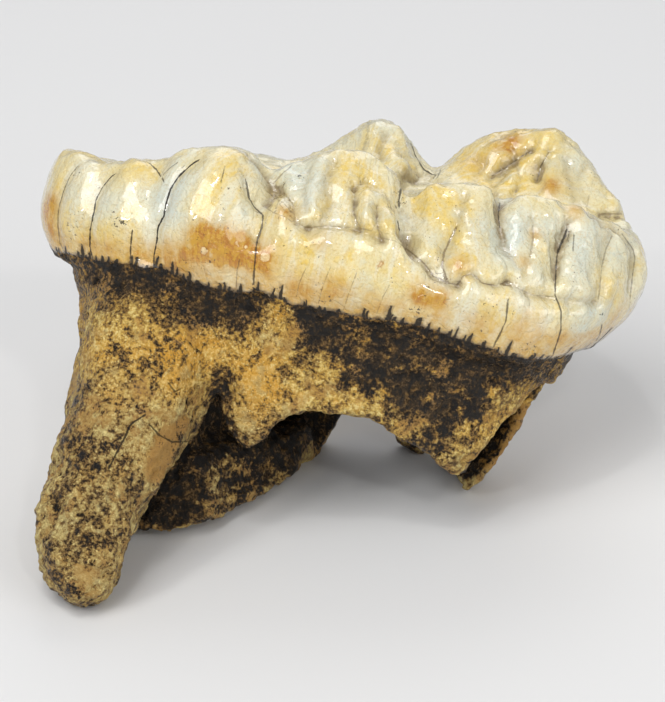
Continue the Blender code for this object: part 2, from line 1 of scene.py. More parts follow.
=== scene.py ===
"""Looks for the fossil cave bear tooth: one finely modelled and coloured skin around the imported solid.

Lengths in millimetres and places on the tooth are in the tooth's own frame: +X towards the front of
the mouth, +Y towards the cheek, +Z towards the biting surface, origin in the middle of the neck.
Places that can be read off the photograph are given as (across, down) in its 665 x 702 frame and
are carried onto the skin by the photograph's camera.
"""

import math

import bmesh
import bpy
import numpy as np
from mathutils import Matrix, Vector, noise
from mathutils.bvhtree import BVHTree


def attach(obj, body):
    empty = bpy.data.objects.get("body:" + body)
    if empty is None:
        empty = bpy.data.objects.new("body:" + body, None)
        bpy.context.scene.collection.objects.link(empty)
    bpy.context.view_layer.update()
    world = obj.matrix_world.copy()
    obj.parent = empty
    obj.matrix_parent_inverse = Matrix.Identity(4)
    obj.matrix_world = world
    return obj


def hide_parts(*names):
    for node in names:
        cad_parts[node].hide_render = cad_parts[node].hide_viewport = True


MM = 0.001

# The tooth frame's place in the row frame, as in the part's source
NOSE_DOWN = math.radians(12.5)
LEAN_BACK = math.radians(27.0)
FLOOR_DROP = 13.63
FOOTPRINT_MIDDLE = (0.674, -3.567)
TOOTH_TO_ROW = (
    Matrix.Translation((-FOOTPRINT_MIDDLE[0] * MM, -FOOTPRINT_MIDDLE[1] * MM, FLOOR_DROP * MM))
    @ Matrix.Scale(MM, 4)
    @ Matrix.Rotation(-LEAN_BACK, 4, "X")
    @ Matrix.Rotation(NOSE_DOWN, 4, "Y")
)

# The photograph's camera
FRAME_SIZE = (665, 702)
FOCAL_PIXELS = 3458
CAMERA_DISTANCE = 0.26
CAMERA_ELEVATION = math.radians(30)
SENSOR = 36
CLIP = (0.01, 20)
LOOK_AT = (-0.19, -2.56)  # where the middle of the frame meets the crown's own plane: across, up

# The skin: a first remesh that smooths the solid, and a finer one once its edges are broken off
SMOOTH_VOXEL, SMOOTH_ROUNDS = 0.25, 7
SKIN_VOXEL, SKIN_ROUNDS = 0.2, 2
TRIANGLE_LIMIT = 192000
CROWN_MIDDLE_X = -0.6
CROWN_HALF = (22.8, 10.6)
FAR_OFF = 40  # where rays towards the tooth start
# A path's places: pixels between them, and how far apart they may lie on the skin
PATH_STEP, LONGEST_JUMP = 3.0, 2.5
SEED = 7

# Folds: how far they reach (in radii), and how far above or below the skin a path counts as lying on it
FOLD_REACH, FOLD_SLACK, LIFT_COST = 3.4, 1.2, 4
DIP_STRETCH, DIP_HEIGHTS = 1.6, (2.0, 5.0)

# Small unevenness: (size, height) of the root's lumps, and its pits
ROOT_LUMPS = [(1.9, 0.16), (0.8, 0.12), (0.42, 0.10)]
PIT_SIZE, PIT_LEVEL, PIT_DEPTH = 0.7, 0.28, 0.5
# The crown's upright ribs: (width, length, place in the noise, height)
CROWN_RIBS = [(1.3, 7, 3, 0.09), (0.6, 3, 9, 0.045)]
CROWN_WAVES = (2.2, 0.06)
# Creases: (size, depth, height between them, place in the noise)
WALL_CREASES = [(0.9, 0.09, 0.02, (3, 7, 1))]
BITING_CREASES = [(1.5, 0.2, 0.05, (5, 0, 0)), (0.7, 0.16, 0.03, (0, 0, 0))]

# Lines and shade kept on the skin
LINE_REACH = 0.9  # how far round a line its distance is kept
NO_LINE_WIDTH = -0.3
LINE_TAPER = 0.6
MOST_STAIN = 1.2
OPEN_RAYS = 14  # rays that feel how shut in a point is
RAY_START, RAY_SPREAD = 0.03, 0.85
CAVITY_REACH, SHELTER_REACH = 2.6, 15.0

# Broken edges in the tooth frame's X-Z plane (what is under them is gone)
TONGUE_WALL_EDGE = [
    (-11.4, -18.8), (-10.5, -15.8), (-9.8, -13.7), (-8.7, -11.4), (-7.9, -9.2), (-7.43, -6.75),
    (-6.94, -7.57), (-5.95, -9.27), (-5.2, -10.1), (-4.4, -10.4), (-3.65, -9.9), (-2.65, -8.5),
    (-1.74, -7.4), (-0.34, -6.8), (2.28, -6.45), (4.6, -6.55), (6.7, -7.4), (8.8, -8.1), (10.56, -9.1),
    (11.4, -9.4),
]
FRONT_CORNER_EDGE = [(11.7, -9), (12.2, -7.9), (13.1, -6.1), (14.07, -4.1), (16.1, -1.2)]
FRONT_WALL_EDGE = [(12.45, -11.8), (12.9, -10.6), (13.5, -9.6), (14.75, -7.4), (15.5, -5.2), (16.45, -1.8)]
WING_EDGE = [
    (-10.6, -19.2), (-9.83, -18.5), (-5.25, -16.5), (-3, -15.4), (-1.15, -13.2), (0.22, -11.75),
    (0.96, -11.35), (1.36, -10.2), (1.97, -8.45), (2.9, -6.9),
]
BREAK_BOTTOM, BREAK_FRONT = -40.0, 30.0
BREAKS = [
    # edge, whether all in front of it is gone too, range of Y
    (TONGUE_WALL_EDGE + FRONT_CORNER_EDGE, True, (-26, -3.2)),
    (FRONT_CORNER_EDGE, True, (-26, 1.3)),
    (FRONT_WALL_EDGE, True, (-3.3, 26)),
    (WING_EDGE, False, (-3.3, 26)),
]
BREAK_STEP = 0.3
BREAK_ROUGHNESS = [(0.9, 0.16), (0.35, 0.09)]  # (size, height)

# Colours
CREAM = (0.77, 0.71, 0.48, 1)
IVORY = (0.74, 0.65, 0.36, 1)
YELLOW = (0.76, 0.55, 0.13, 1)
PALE = (0.76, 0.75, 0.60, 1)
BLUE_WHITE = (0.61, 0.645, 0.55, 1)
STREAK = (0.56, 0.46, 0.22, 1)
HONEY = (0.55, 0.30, 0.035, 1)
AMBER = (0.42, 0.17, 0.02, 1)
PIT = (0.80, 0.62, 0.32, 1)
# the painted shade of the crown's folds and sheltered hollows
FOLD_SHADE = (0.26, 0.19, 0.09, 1)
RIM = (0.10, 0.055, 0.02, 1)
CRACK = (0.018, 0.014, 0.009, 1)
ROOT_BLACK = (0.012, 0.010, 0.008, 1)
ROOT_DARK = (0.06, 0.036, 0.014, 1)
ROOT_BROWN = (0.20, 0.105, 0.026, 1)
ROOT_OCHRE = (0.44, 0.265, 0.055, 1)
ROOT_SAND = (0.68, 0.475, 0.125, 1)
ROOT_LIGHT = (0.92, 0.77, 0.33, 1)
ROOT_TAN = (0.42, 0.225, 0.055, 1)
ROOT_GOLD = (0.68, 0.33, 0.03, 1)
ROOT_GREY = (0.35, 0.305, 0.16, 1)
FLOOR_LIGHT = (0.74, 0.735, 0.72, 1)
FLOOR_DARK = (0.70, 0.695, 0.68, 1)
# The root's colours from its darkest to its lightest tone
ROOT_TONES = [
    (0.04, ROOT_BLACK), (0.18, ROOT_DARK), (0.34, ROOT_BROWN), (0.52, ROOT_OCHRE), (0.72, ROOT_SAND),
    (0.94, ROOT_LIGHT),
]
NOISE_LOW, NOISE_HIGH = 0.36, 0.64  # where most of a noise's values lie
# Cracks at the neck, large and small: (number to a millimetre, greatest height, half width, shift)
NECK_CRACKS = [(0.75, 1.25, 0.16, 0.0), (1.1, 0.7, 0.11, 7.3)]
LINE_SOFTNESS = 0.02
# how deep a fold must be for its painted shade to be darkest
FULL_FOLD = 0.4  # the depth at which a fold is at its darkest

# Lamps: name, place, size, power in watts
LIGHTS = [
    ("key", (-0.16, -0.20, 0.40), 0.30, 1.3),
    ("sparkle left", (-0.30, -0.26, 0.30), 0.03, 0.18),
    ("sparkle right", (0.10, -0.34, 0.36), 0.03, 0.2),
    ("sparkle high", (-0.04, -0.16, 0.50), 0.03, 0.16),
    ("fill", (0.34, -0.30, 0.22), 0.30, 0.75),
    ("back", (0.08, 0.42, 0.40), 0.40, 0.8),
]
WORLD_STRENGTH = 0.36
WORLD_COLOUR = (0.9, 0.92, 1, 1)
LIT_POINT = (0, 0, 0.012)

# The enamel's edge: on the tongue side, back to front, in the photograph; on the cheek side, as (x, z)
ENAMEL_EDGE = [
    (53, 251), (70, 255), (97, 260), (124, 264), (150, 267), (169, 270), (191, 282), (211, 287),
    (240, 293), (254, 290), (293, 304), (336, 312), (361, 317), (413, 324), (441, 333), (475, 344),
    (510, 356), (554, 360), (579, 355), (595, 350), (613, 341),
]
CHEEK_EDGE = [
    (-23, 1.4), (-21, 1.1), (-14, 1.4), (-4, 1.3), (5, 1.6), (13, 1.1), (17, 1.5), (20.5, 2.8),
    (22.5, 3.4),
]
EDGE_CHANGE_Y = (-3, 4)  # between these the edge goes over from one side's to the other's

# Paths that a fold and the dark line in it share
LEDGE_HIND = [(400, 244), (414, 255), (425, 264), (433, 276), (448, 283), (458, 285)]
LEDGE_MIDDLE = [(458, 285), (463, 276), (473, 274), (482, 283), (496, 286), (509, 281)]
END_FOLD = [(601, 214), (625, 214), (635, 222), (641, 234)]
# Folds and ridges seen in the photograph: name: (pixels, radius, depth); a negative depth is a ridge
SEEN_FOLDS = {
    # the heel, from its end
    "heel a": ([(78, 166), (64, 190), (58, 212), (58, 227), (60, 243)], 0.9, 0.16),
    "heel b": ([(116, 173), (102, 188), (96, 200), (93, 217), (90, 231), (90, 247)], 0.9, 0.22),
    "heel c": ([(200, 159), (179, 176), (171, 188), (164, 216), (158, 227), (157, 241)], 1, 0.22),
    "heel lobe a": ([(86, 164), (78, 190), (74, 215)], 1.6, -0.18),
    "heel lobe b": ([(134, 172), (128, 195), (122, 220)], 2, -0.2),
    "heel lobe c": ([(218, 165), (208, 190), (204, 215)], 2.2, -0.22),
    "heel edge": ([(250, 154), (262, 168), (272, 183), (273, 194), (267, 205)], 0.65, 0.42),
    "heel seam": ([(244, 170), (246, 184), (249, 198), (255, 208), (263, 215), (262, 227),
        (257, 241)], 0.6, 0.22),
    "heel foot": ([(273, 186), (283, 192), (293, 204), (295, 222), (307, 228)], 0.7, 0.35),
    "heel pillar": ([(282, 203), (284, 218)], 0.9, -0.18),
    # the middle cusp and its knobs
    "middle cusp edge": ([(272, 184), (283, 173), (299, 160), (315, 154)], 0.7, -0.2),
    "middle cusp shelf": ([(307, 228), (328, 226), (350, 228), (366, 232), (384, 240)], 0.7, 0.36),
    "middle cusp groove a": ([(335, 160), (326, 182), (330, 203), (322, 222)], 0.7, 0.32),
    "middle cusp groove b": ([(310, 168), (303, 190), (306, 212)], 0.6, 0.2),
    "middle cusp rib": ([(318, 165), (314, 190), (314, 215)], 0.8, -0.2),
    "knob a": ([(366, 196), (366, 218)], 1, -0.4),
    "knob a side": ([(355, 190), (354, 212), (358, 228)], 0.5, 0.36),
    "knob b": ([(386, 214), (388, 230)], 0.8, -0.4),
    "knob b side": ([(377, 206), (377, 224), (381, 238)], 0.5, 0.4),
    "knob top": ([(357, 186), (366, 181), (376, 188)], 0.5, 0.28),
    # the cleft between the middle and the front cusp
    "cleft": ([(401, 188), (398, 206), (398, 227), (401, 241)], 0.8, 0.6),
    # the front cusp's ledge and furrows
    "front ledge a": (LEDGE_HIND, 0.6, 0.4),
    "front ledge b": (LEDGE_MIDDLE, 0.55, 0.34),
    "front ledge c": ([(509, 281), (519, 289), (532, 295), (553, 297), (572, 301), (597, 303)], 0.55, 0.3),
    "front furrow a": ([(465, 194), (456, 228), (444, 253), (442, 266)], 0.8, 0.28),
    "front furrow b": ([(500, 202), (498, 215), (500, 228), (503, 245), (509, 255)], 0.7, 0.4),
    "front furrow c": ([(532, 219), (533, 236), (530, 257), (524, 278)], 0.6, 0.2),
    "front furrow d": ([(569, 222), (566, 234), (558, 249), (556, 266), (554, 280)], 0.6, 0.4),
    "front furrow e": ([(612, 234), (606, 249), (602, 266), (600, 285), (597, 301)], 0.7, 0.24),
    "front fold f": ([(593, 215), (610, 224), (622, 234), (633, 249), (635, 258), (633, 272),
        (631, 289)], 0.6, 0.34),
    "front fold g": (END_FOLD, 0.6, 0.4),
    "front lobe a": ([(482, 200), (480, 222), (474, 250)], 1.6, -0.12),
    "front lobe b": ([(516, 205), (514, 228), (512, 262)], 1.3, -0.12),
    "front lobe c": ([(548, 206), (546, 230), (540, 270)], 1.4, -0.12),
    "front lobe d": ([(588, 226), (582, 252), (577, 285)], 1.7, -0.14),
    "front end knob": ([(617, 204), (625, 207)], 0.9, -0.5),
    # the far cusps
    "far hind cusp groove a": ([(410, 140), (414, 155), (424, 170), (437, 177)], 0.6, 0.5),
    "far hind cusp groove b": ([(386, 135), (378, 148), (380, 158)], 0.6, 0.4),
    "far hind cusp knob": ([(398, 164), (402, 168)], 1, -0.5),
    "far hind cusp rib": ([(398, 132), (404, 150)], 0.7, -0.35),
    "far hind cusp bump": ([(436, 163), (439, 167)], 0.8, -0.4),
    "far saddle": ([(397, 180), (415, 179), (435, 181)], 0.6, 0.4),
    "far front cusp groove a": ([(490, 177), (505, 168), (521, 157), (532, 150)], 0.6, 0.4),
    "far front cusp groove b": ([(549, 152), (541, 166), (537, 180)], 0.6, 0.35),
    "far front cusp rib a": ([(512, 178), (526, 164), (538, 156)], 0.8, -0.35),
    "far front cusp rib b": ([(556, 158), (552, 178), (552, 196)], 1, -0.35),
    "far front cusp groove c": ([(566, 160), (570, 178), (577, 200)], 0.9, 0.3),
    "far front cusp rim": ([(476, 166), (500, 146), (530, 135), (556, 134)], 1.1, -0.25),
    "far front cusp crest": ([(546, 136), (562, 146), (576, 158), (598, 184), (613, 206)], 0.9, -0.22),
    "far front cusp wear": ([(476, 161), (477, 162)], 0.8, 0.3),
    # the root
    "column groove a": ([(222, 402), (212, 418), (200, 433), (188, 446)], 0.7, 0.5),
    "column groove b": ([(188, 446), (168, 470), (152, 498), (140, 521)], 0.8, 0.6),
    "column rib": ([(205, 300), (190, 350), (165, 410), (120, 480), (92, 550)], 2.6, -0.25),
    "column hollow": ([(118, 470), (98, 520), (84, 560)], 1.6, 0.22),
    "spur rib": ([(255, 340), (250, 390), (246, 425)], 1.5, -0.25),
    "spur valley": ([(228, 345), (228, 372), (222, 388)], 1, 0.25),
}
# Dips in the crest of the near wall: (across, down, radius, depth)
SEEN_DIPS = [
    (161, 164, 0.75, 1.1), (103, 161, 0.5, 0.4), (122, 162, 0.45, 0.4), (88, 157, 0.4, 0.2),
    (500, 200, 0.5, 0.35), (536, 196, 0.4, 0.2), (566, 210, 0.5, 0.3), (604, 220, 0.5, 0.25),
    (436, 168, 0.5, 0.3),
]
# Dark cracks seen in the photograph: name: (pixels, half width, darkness)
SEEN_CRACKS = {
    "heel a": ([(78, 166), (70, 176), (64, 190), (61, 200), (58, 212), (58, 227), (60, 243),
        (65, 253)], 0.02, 0.7),
    "heel b": ([(116, 173), (110, 178), (102, 188), (96, 200), (93, 217), (90, 231), (90, 247),
        (93, 261)], 0.03, 0.95),
    "heel c": ([(200, 159), (191, 165), (179, 176), (171, 188), (167, 200), (164, 216), (158, 227),
        (157, 241), (154, 255), (154, 266)], 0.04, 1),
    "heel c branch": ([(178, 162), (169, 169), (162, 175)], 0.03, 0.8),
    "heel notch": ([(149, 163), (156, 169), (161, 177), (164, 181)], 0.04, 0.8),
    "heel d": ([(133, 227), (131, 242), (130, 265)], 0.035, 0.9),
    "heel e": ([(225, 166), (221, 182)], 0.03, 0.6),
    "heel edge": ([(246, 180), (249, 198), (255, 208), (263, 215), (262, 227), (257, 241), (255, 259),
        (253, 290)], 0.05, 0.8),
    "cleft": ([(401, 189), (399, 198), (399, 206)], 0.09, 0.8),
    "cleft foot": ([(398, 222), (399, 230)], 0.07, 0.8),
    "furrow b": ([(500, 203), (498, 215), (500, 228)], 0.03, 0.7),
    "furrow d": ([(567, 228), (565, 236), (561, 244), (558, 252)], 0.08, 0.85),
    "furrow d low": ([(558, 249), (556, 266), (555, 295), (561, 310), (561, 331), (553, 354)], 0.04, 0.8),
    "front fine": ([(574, 234), (573, 252)], 0.025, 0.6),
    "furrow e": ([(612, 236), (606, 249), (602, 266), (600, 285), (598, 301)], 0.03, 0.4),
    "front end": ([(622, 234), (633, 249), (635, 258), (633, 272), (631, 289), (629, 310)], 0.025, 0.55),
    "brown": ([(508, 300), (506, 321), (499, 336), (493, 347)], 0.05, 0.75),
    "lower right": ([(602, 324), (600, 334), (590, 352)], 0.05, 0.9),
    "far groove a": ([(492, 176), (505, 168), (521, 157), (531, 151)], 0.02, 0.55),
    "far groove b": ([(549, 152), (541, 166), (537, 181)], 0.015, 0.5),
    "far hind groove": ([(411, 143), (415, 155), (424, 170), (436, 176)], 0.05, 0.85),
    "far saddle": ([(437, 178), (441, 170)], 0.05, 0.6),
    "root a": ([(145, 415), (131, 424), (123, 441), (116, 454), (109, 468)], 0.06, 0.9),
    "root b": ([(149, 424), (159, 435), (172, 442), (191, 441)], 0.05, 0.8),
    "root c": ([(168, 382), (175, 392), (182, 388)], 0.05, 0.7),
}
# Thin brown lines, most of them along the feet of folds: name: (pixels, half width, darkness)
SEEN_SEAMS = {
    "heel foot": ([(273, 186), (283, 192), (293, 204), (295, 222), (307, 228), (328, 226),
        (350, 228)], 0.04, 0.3),
    "knob a": ([(355, 190), (354, 212), (358, 228), (372, 231)], 0.04, 0.25),
    "knob b": ([(377, 206), (377, 224), (381, 238), (396, 241)], 0.04, 0.3),
    "middle cusp edge": ([(273, 184), (283, 173), (292, 166)], 0.04, 0.5),
    "ledge a": (LEDGE_HIND, 0.045, 0.55),
    "ledge b": (LEDGE_MIDDLE, 0.04, 0.45),
    "ledge c": ([(509, 281), (519, 289), (532, 295), (553, 297)], 0.035, 0.3),
    "furrow a": ([(456, 228), (444, 253), (442, 266), (448, 283)], 0.06, 0.6),
    "furrow c": ([(533, 225), (533, 240), (530, 257)], 0.06, 0.35),
    "end fold": ([(593, 215), (610, 224), (622, 234)], 0.05, 0.5),
    "end fold outer": (END_FOLD, 0.05, 0.4),
    "rim": ([(600, 165), (608, 185), (614, 200)], 0.05, 0.3),
    "net a": ([(264, 188), (273, 197), (284, 203), (291, 212)], 0.025, 0.5),
    "net b": ([(279, 186), (280, 197), (276, 209), (279, 222)], 0.02, 0.45),
    "net c": ([(263, 206), (274, 213), (286, 217), (296, 226)], 0.02, 0.45),
    "shelf a": ([(296, 299), (299, 284), (306, 268)], 0.015, 0.45),
    "shelf b": ([(318, 306), (322, 288), (331, 266)], 0.02, 0.5),
    "shelf c": ([(343, 311), (350, 290), (357, 272)], 0.02, 0.4),
    "shelf d": ([(376, 315), (383, 297), (390, 284)], 0.015, 0.4),
    "shelf e": ([(236, 288), (237, 272), (240, 258)], 0.02, 0.55),
}
# Stains seen in the photograph, and painted shade among the black ones: kind: [(across, down, radius in
# millimetres, strength)]
SEEN_STAINS = {
    "amber": [
        (560, 338, 1, 0.5), (520, 336, 1, 0.6), (482, 322, 1, 0.5), (110, 250, 1, 0.5),
        (90, 245, 0.9, 0.4), (203, 238, 1.1, 1.2), (212, 250, 1.3, 1.3), (228, 245, 1.2, 1.3),
        (245, 250, 1.1, 1.2), (264, 262, 1.2, 1), (184, 262, 1, 0.6), (47, 207, 1.2, 1),
        (52, 232, 1.2, 0.5), (140, 255, 1, 0.6), (170, 258, 1.2, 0.8), (553, 186, 0.9, 0.7),
        (508, 143, 1.2, 0.8), (476, 163, 0.9, 0.6), (535, 235, 0.5, 0.5), (523, 262, 0.6, 0.5),
        (330, 292, 1.2, 0.6), (421, 295, 0.9, 0.9), (440, 300, 1, 0.7), (300, 290, 1.2, 0.7),
        (375, 305, 1, 0.5), (320, 240, 0.8, 0.4), (460, 265, 0.8, 0.6), (575, 210, 0.7, 0.5),
        (530, 320, 1, 0.3), (286, 212, 0.8, 0.5),
    ],
    "yellow": [
        (480, 160, 2.4, 0.9), (515, 142, 2, 1), (545, 140, 1.8, 0.7), (450, 210, 1.8, 0.9),
        (330, 205, 1.4, 0.5), (348, 172, 1.6, 0.8), (140, 168, 1.6, 0.8), (210, 200, 1.8, 0.8),
        (238, 165, 1.4, 0.6), (85, 235, 1.8, 0.6), (340, 270, 2.6, 0.5), (290, 255, 2, 0.6),
        (115, 240, 1.8, 0.6), (500, 310, 1.8, 0.5), (390, 145, 1.4, 0.6), (525, 180, 1.6, 0.8),
        (500, 165, 1.4, 0.9), (478, 176, 1.2, 0.8), (560, 175, 1.2, 0.5), (60, 180, 1.4, 0.5),
        (540, 350, 1.4, 0.5), (610, 300, 1.4, 0.4), (366, 215, 1, 0.8), (388, 225, 0.9, 0.6),
        (470, 265, 1, 0.7), (425, 200, 1.2, 0.9), (462, 222, 1.3, 0.8), (452, 246, 1.1, 0.7),
        (365, 180, 1.1, 0.6), (228, 178, 1.4, 0.6), (600, 170, 1.2, 0.4),
    ],
    "pale": [
        (294, 180, 1.2, 0.8), (318, 178, 1.3, 0.7), (308, 200, 1.1, 0.6), (405, 135, 1.4, 0.7),
        (575, 160, 1.6, 0.8), (110, 205, 1.4, 0.8), (170, 204, 1.3, 1), (181, 180, 1.5, 1),
        (150, 195, 1.2, 0.5), (515, 225, 1.2, 1), (548, 225, 1.2, 0.9), (590, 240, 1.6, 0.9),
        (480, 225, 1.2, 0.9), (510, 250, 1.2, 0.6), (580, 265, 1.4, 0.7), (540, 270, 1, 0.6),
        (590, 315, 1.8, 0.8), (470, 310, 1.2, 0.4), (240, 215, 1.4, 0.6), (285, 168, 1, 0.6),
        (620, 250, 1.4, 0.6),
    ],
    "specks": [
        (69, 226, 0.6, 1), (76, 228, 0.5, 0.9), (113, 223, 0.6, 1), (122, 221, 0.5, 0.9),
        (133, 212, 0.4, 0.7), (205, 262, 0.5, 1), (320, 288, 0.6, 1), (332, 300, 0.6, 1),
        (98, 186, 0.5, 0.7), (245, 180, 0.7, 0.7), (285, 185, 0.7, 0.8), (300, 175, 0.6, 0.6),
        (600, 316, 0.6, 1), (530, 345, 0.7, 1), (590, 342, 0.6, 1), (562, 330, 0.5, 0.8),
        (413, 308, 0.5, 1), (399, 200, 0.8, 1), (394, 215, 0.6, 0.8), (70, 248, 0.7, 0.9),
        (420, 312, 0.5, 1), (185, 262, 0.7, 0.8),
    ],
    "black": [
        # the broad spots on the wing under the arch (about 180 to 330 across, 420 to 512 down) and on the
        # arch wall and the hollow front wall (about 355 to 475 across, 372 to 425 down) are painted shade;
        # the others are black patches of the root
        (410, 355, 2, 1), (385, 345, 1.5, 0.9), (437, 375, 1.6, 0.9), (425, 340, 1.6, 0.8),
        (412, 392, 1.2, 0.9), (130, 278, 1.6, 0.9), (165, 285, 1.6, 1), (205, 300, 1.6, 1),
        (240, 305, 1, 0.5), (320, 325, 1.3, 1), (305, 350, 1, 0.4), (480, 360, 1.8, 1),
        (455, 352, 1.6, 0.9), (520, 368, 1.4, 0.8), (210, 318, 1.2, 0.6), (120, 345, 0.8, 0.6),
        (70, 470, 1.2, 0.6), (75, 440, 1.2, 0.5), (345, 372, 0.9, 0.6), (60, 500, 1, 0.5),
        (95, 405, 0.8, 0.5), (225, 385, 0.9, 0.7), (140, 490, 1, 0.4), (100, 470, 1, 0.4),
        (470, 400, 1.4, 0.3), (80, 560, 1, 0.4), (222, 420, 1.2, 0.7), (205, 450, 1.6, 0.6),
        (230, 470, 2.2, 0.5), (270, 455, 2.2, 0.5), (300, 430, 1.6, 0.6), (330, 420, 1.4, 0.6),
        (180, 495, 1.4, 0.4), (240, 492, 2.2, 0.45), (200, 512, 1.6, 0.35), (290, 470, 1.8, 0.4),
        (475, 400, 2.6, 0.6), (450, 425, 2.4, 0.4), (395, 375, 2.6, 0.5), (435, 395, 2.4, 0.5),
        (355, 372, 2, 0.6), (60, 420, 1.6, 0.5), (540, 380, 0.8, 0.4),
    ],
    "bare": [
        (168, 440, 1.4, 1), (158, 468, 1.5, 1), (185, 425, 1.1, 0.8), (268, 350, 1, 0.6),
        (490, 458, 1.2, 1), (504, 436, 1.2, 1), (518, 412, 1.1, 1),
    ],
    "ochre": [
        (263, 375, 1.4, 0.8), (182, 345, 1.6, 0.8), (215, 345, 1.2, 0.6), (318, 380, 1.2, 0.4),
        (255, 385, 1.2, 0.6), (100, 350, 1.8, 0.8), (140, 355, 1.6, 0.8), (190, 360, 2, 1),
        (170, 385, 1.8, 0.7), (268, 395, 1.6, 1), (250, 420, 1.4, 1), (275, 345, 1.2, 0.7),
        (275, 312, 1, 1), (148, 460, 1.6, 0.8), (360, 402, 1.2, 0.3), (340, 395, 1, 0.3),
        (480, 430, 1.8, 0.4), (245, 360, 1.6, 0.7), (110, 400, 1.8, 0.7), (505, 430, 1.4, 0.9),
        (490, 455, 1.2, 0.8), (518, 408, 1.2, 0.8), (430, 372, 0.9, 0.4), (470, 372, 0.9, 0.5),
        (95, 575, 1.4, 0.7), (120, 530, 1.4, 0.3), (420, 320, 1, 0.4), (360, 335, 1.2, 0.4),
    ],
}
# Small round pits with brown rims: (across, down, radius in millimetres)
SEEN_PITS = [
    (204, 251, 0.36), (214, 246, 0.2), (237, 244, 0.24), (246, 247, 0.18), (265, 257, 0.42),
    (382, 264, 0.24), (192, 250, 0.14), (421, 296, 0.22), (228, 252, 0.12),
]

# The biting surface's wrinkles, laid out by the seed: their number, places along the valley and ranges
WRINKLES, WRINKLE_STEPS = 34, 6
WRINKLES_FROM, WRINKLES_SPAN = -19.5, 39
WRINKLE = {
    "lean": (-0.35, 0.35), "wave": (0.2, 0.5), "start": (0.2, 1.5), "end": (3.0, 4.6),
    "radius": (0.4, 0.7), "depth": (0.12, 0.3),
}
VALLEY_X = (-18, 18.5, 0.9)  # from, to and step
VALLEY_FOLD = (0.6, 0.45)  # radius, depth
# The cracks of the sides that the photograph doesn't show, laid out by the seed
HIDDEN_CRACKS = 15
HIDDEN_CRACK_FOOT, HIDDEN_CRACK_STEP = 1.2, 0.7
HIDDEN_CRACK = {
    "top": (3.0, 8.5), "drift": (-0.03, 0.03), "half width": (0.035, 0.06), "darkness": (0.6, 1.0),
}
# Grooves up the cheek wall: (x at the foot, lean, top, radius, depth); a negative depth is a swelling
CHEEK_GROOVES = [
    (-19, 0.05, 5.5, 0.8, 0.2), (-15.6, 0.03, 6, 0.9, 0.25), (-12.4, -0.02, 6.4, 0.7, 0.16),
    (-8.2, 0.06, 6.6, 1.2, 0.38), (-3.2, -0.04, 7.5, 0.9, 0.2), (0.4, 0.02, 8, 1.6, -0.2),
    (3.9, -0.05, 7.4, 1.1, 0.5), (8.2, 0.03, 8.6, 1, 0.2), (11.2, 0, 9, 1.8, -0.2),
    (14.4, -0.04, 8.2, 0.9, 0.22), (17.4, -0.06, 7, 0.8, 0.2), (-17.2, 0, 5, 1.5, -0.14),
    (-5.4, 0, 7, 1.5, -0.16),
]
CHEEK_FOLD_FOOT, CHEEK_FOLD_STEP = 2.0, 0.6
# Stains of the hidden sides, laid out by the seed: kind: (count, radii, lowest, highest)
HIDDEN_STAINS = {
    "amber": (9, (0.9, 2.0), 1.6, 4.0),
    "yellow": (12, (1.4, 2.6), 2.0, 9.0),
    "pale": (10, (1.2, 2.2), 2.0, 8.0),
    "specks": (12, (0.5, 0.9), 0.8, 5.0),
    "black": (14, (1.0, 2.4), -13.0, -0.5),
    "ochre": (12, (1.2, 2.2), -13.0, -2.0),
}
HIDDEN_STAINS_X = (-21, 21)

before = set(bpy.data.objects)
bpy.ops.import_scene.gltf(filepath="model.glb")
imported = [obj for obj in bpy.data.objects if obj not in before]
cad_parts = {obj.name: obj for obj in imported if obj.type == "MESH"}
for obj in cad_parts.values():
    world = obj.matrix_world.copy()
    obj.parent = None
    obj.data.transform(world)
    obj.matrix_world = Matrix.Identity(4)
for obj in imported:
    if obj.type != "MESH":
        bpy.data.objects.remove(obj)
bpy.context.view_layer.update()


def points_and_normals(mesh):
    """The mesh's points and their normals, as rows of x, y and z."""
    points, normals = np.empty((2, len(mesh.vertices) * 3))
    mesh.vertices.foreach_get("co", points)
    mesh.vertex_normals.foreach_get("vector", normals)
    return points.reshape(-1, 3), normals.reshape(-1, 3)


def write_points(mesh, points):
    mesh.vertices.foreach_set("co", points.ravel())
    mesh.update()


def ray_tree(mesh, points):
    """The mesh as something that rays can meet."""
    return BVHTree.FromPolygons(points.tolist(), [face.vertices for face in mesh.polygons])


def smooth_step(value, low=0.0, high=1.0):
    value = np.clip((value - low) / (high - low), 0, 1)
    return value * value * (3 - 2 * value)


def bake(obj):
    """Replaces the object's mesh by what its modifiers make of it."""
    bpy.context.view_layer.update()
    mesh = bpy.data.meshes.new_from_object(obj.evaluated_get(bpy.context.evaluated_depsgraph_get()))
    obj.modifiers.clear()
    obj.data = mesh


def crown_plane_point(across, up):
    """A point of the crown's own plane (the tooth's, without its nose-down turn) in the row frame."""
    return Vector((
        (across - FOOTPRINT_MIDDLE[0]) * MM,
        (up * math.sin(LEAN_BACK) - FOOTPRINT_MIDDLE[1]) * MM,
        (up * math.cos(LEAN_BACK) + FLOOR_DROP) * MM,
    ))


def add_camera():
    """The photograph's camera."""
    data = bpy.data.cameras.new("camera")
    data.sensor_fit = "VERTICAL"
    data.sensor_height = SENSOR
    data.lens = SENSOR * FOCAL_PIXELS / FRAME_SIZE[1]
    data.clip_start, data.clip_end = CLIP
    camera = bpy.data.objects.new("camera", data)
    bpy.context.scene.collection.objects.link(camera)
    forward = Vector((0, math.cos(CAMERA_ELEVATION), -math.sin(CAMERA_ELEVATION)))
    camera.location = crown_plane_point(*LOOK_AT) - forward * CAMERA_DISTANCE
    camera.rotation_euler = (math.pi / 2 - CAMERA_ELEVATION, 0, 0)
    bpy.context.scene.camera = camera
    return camera


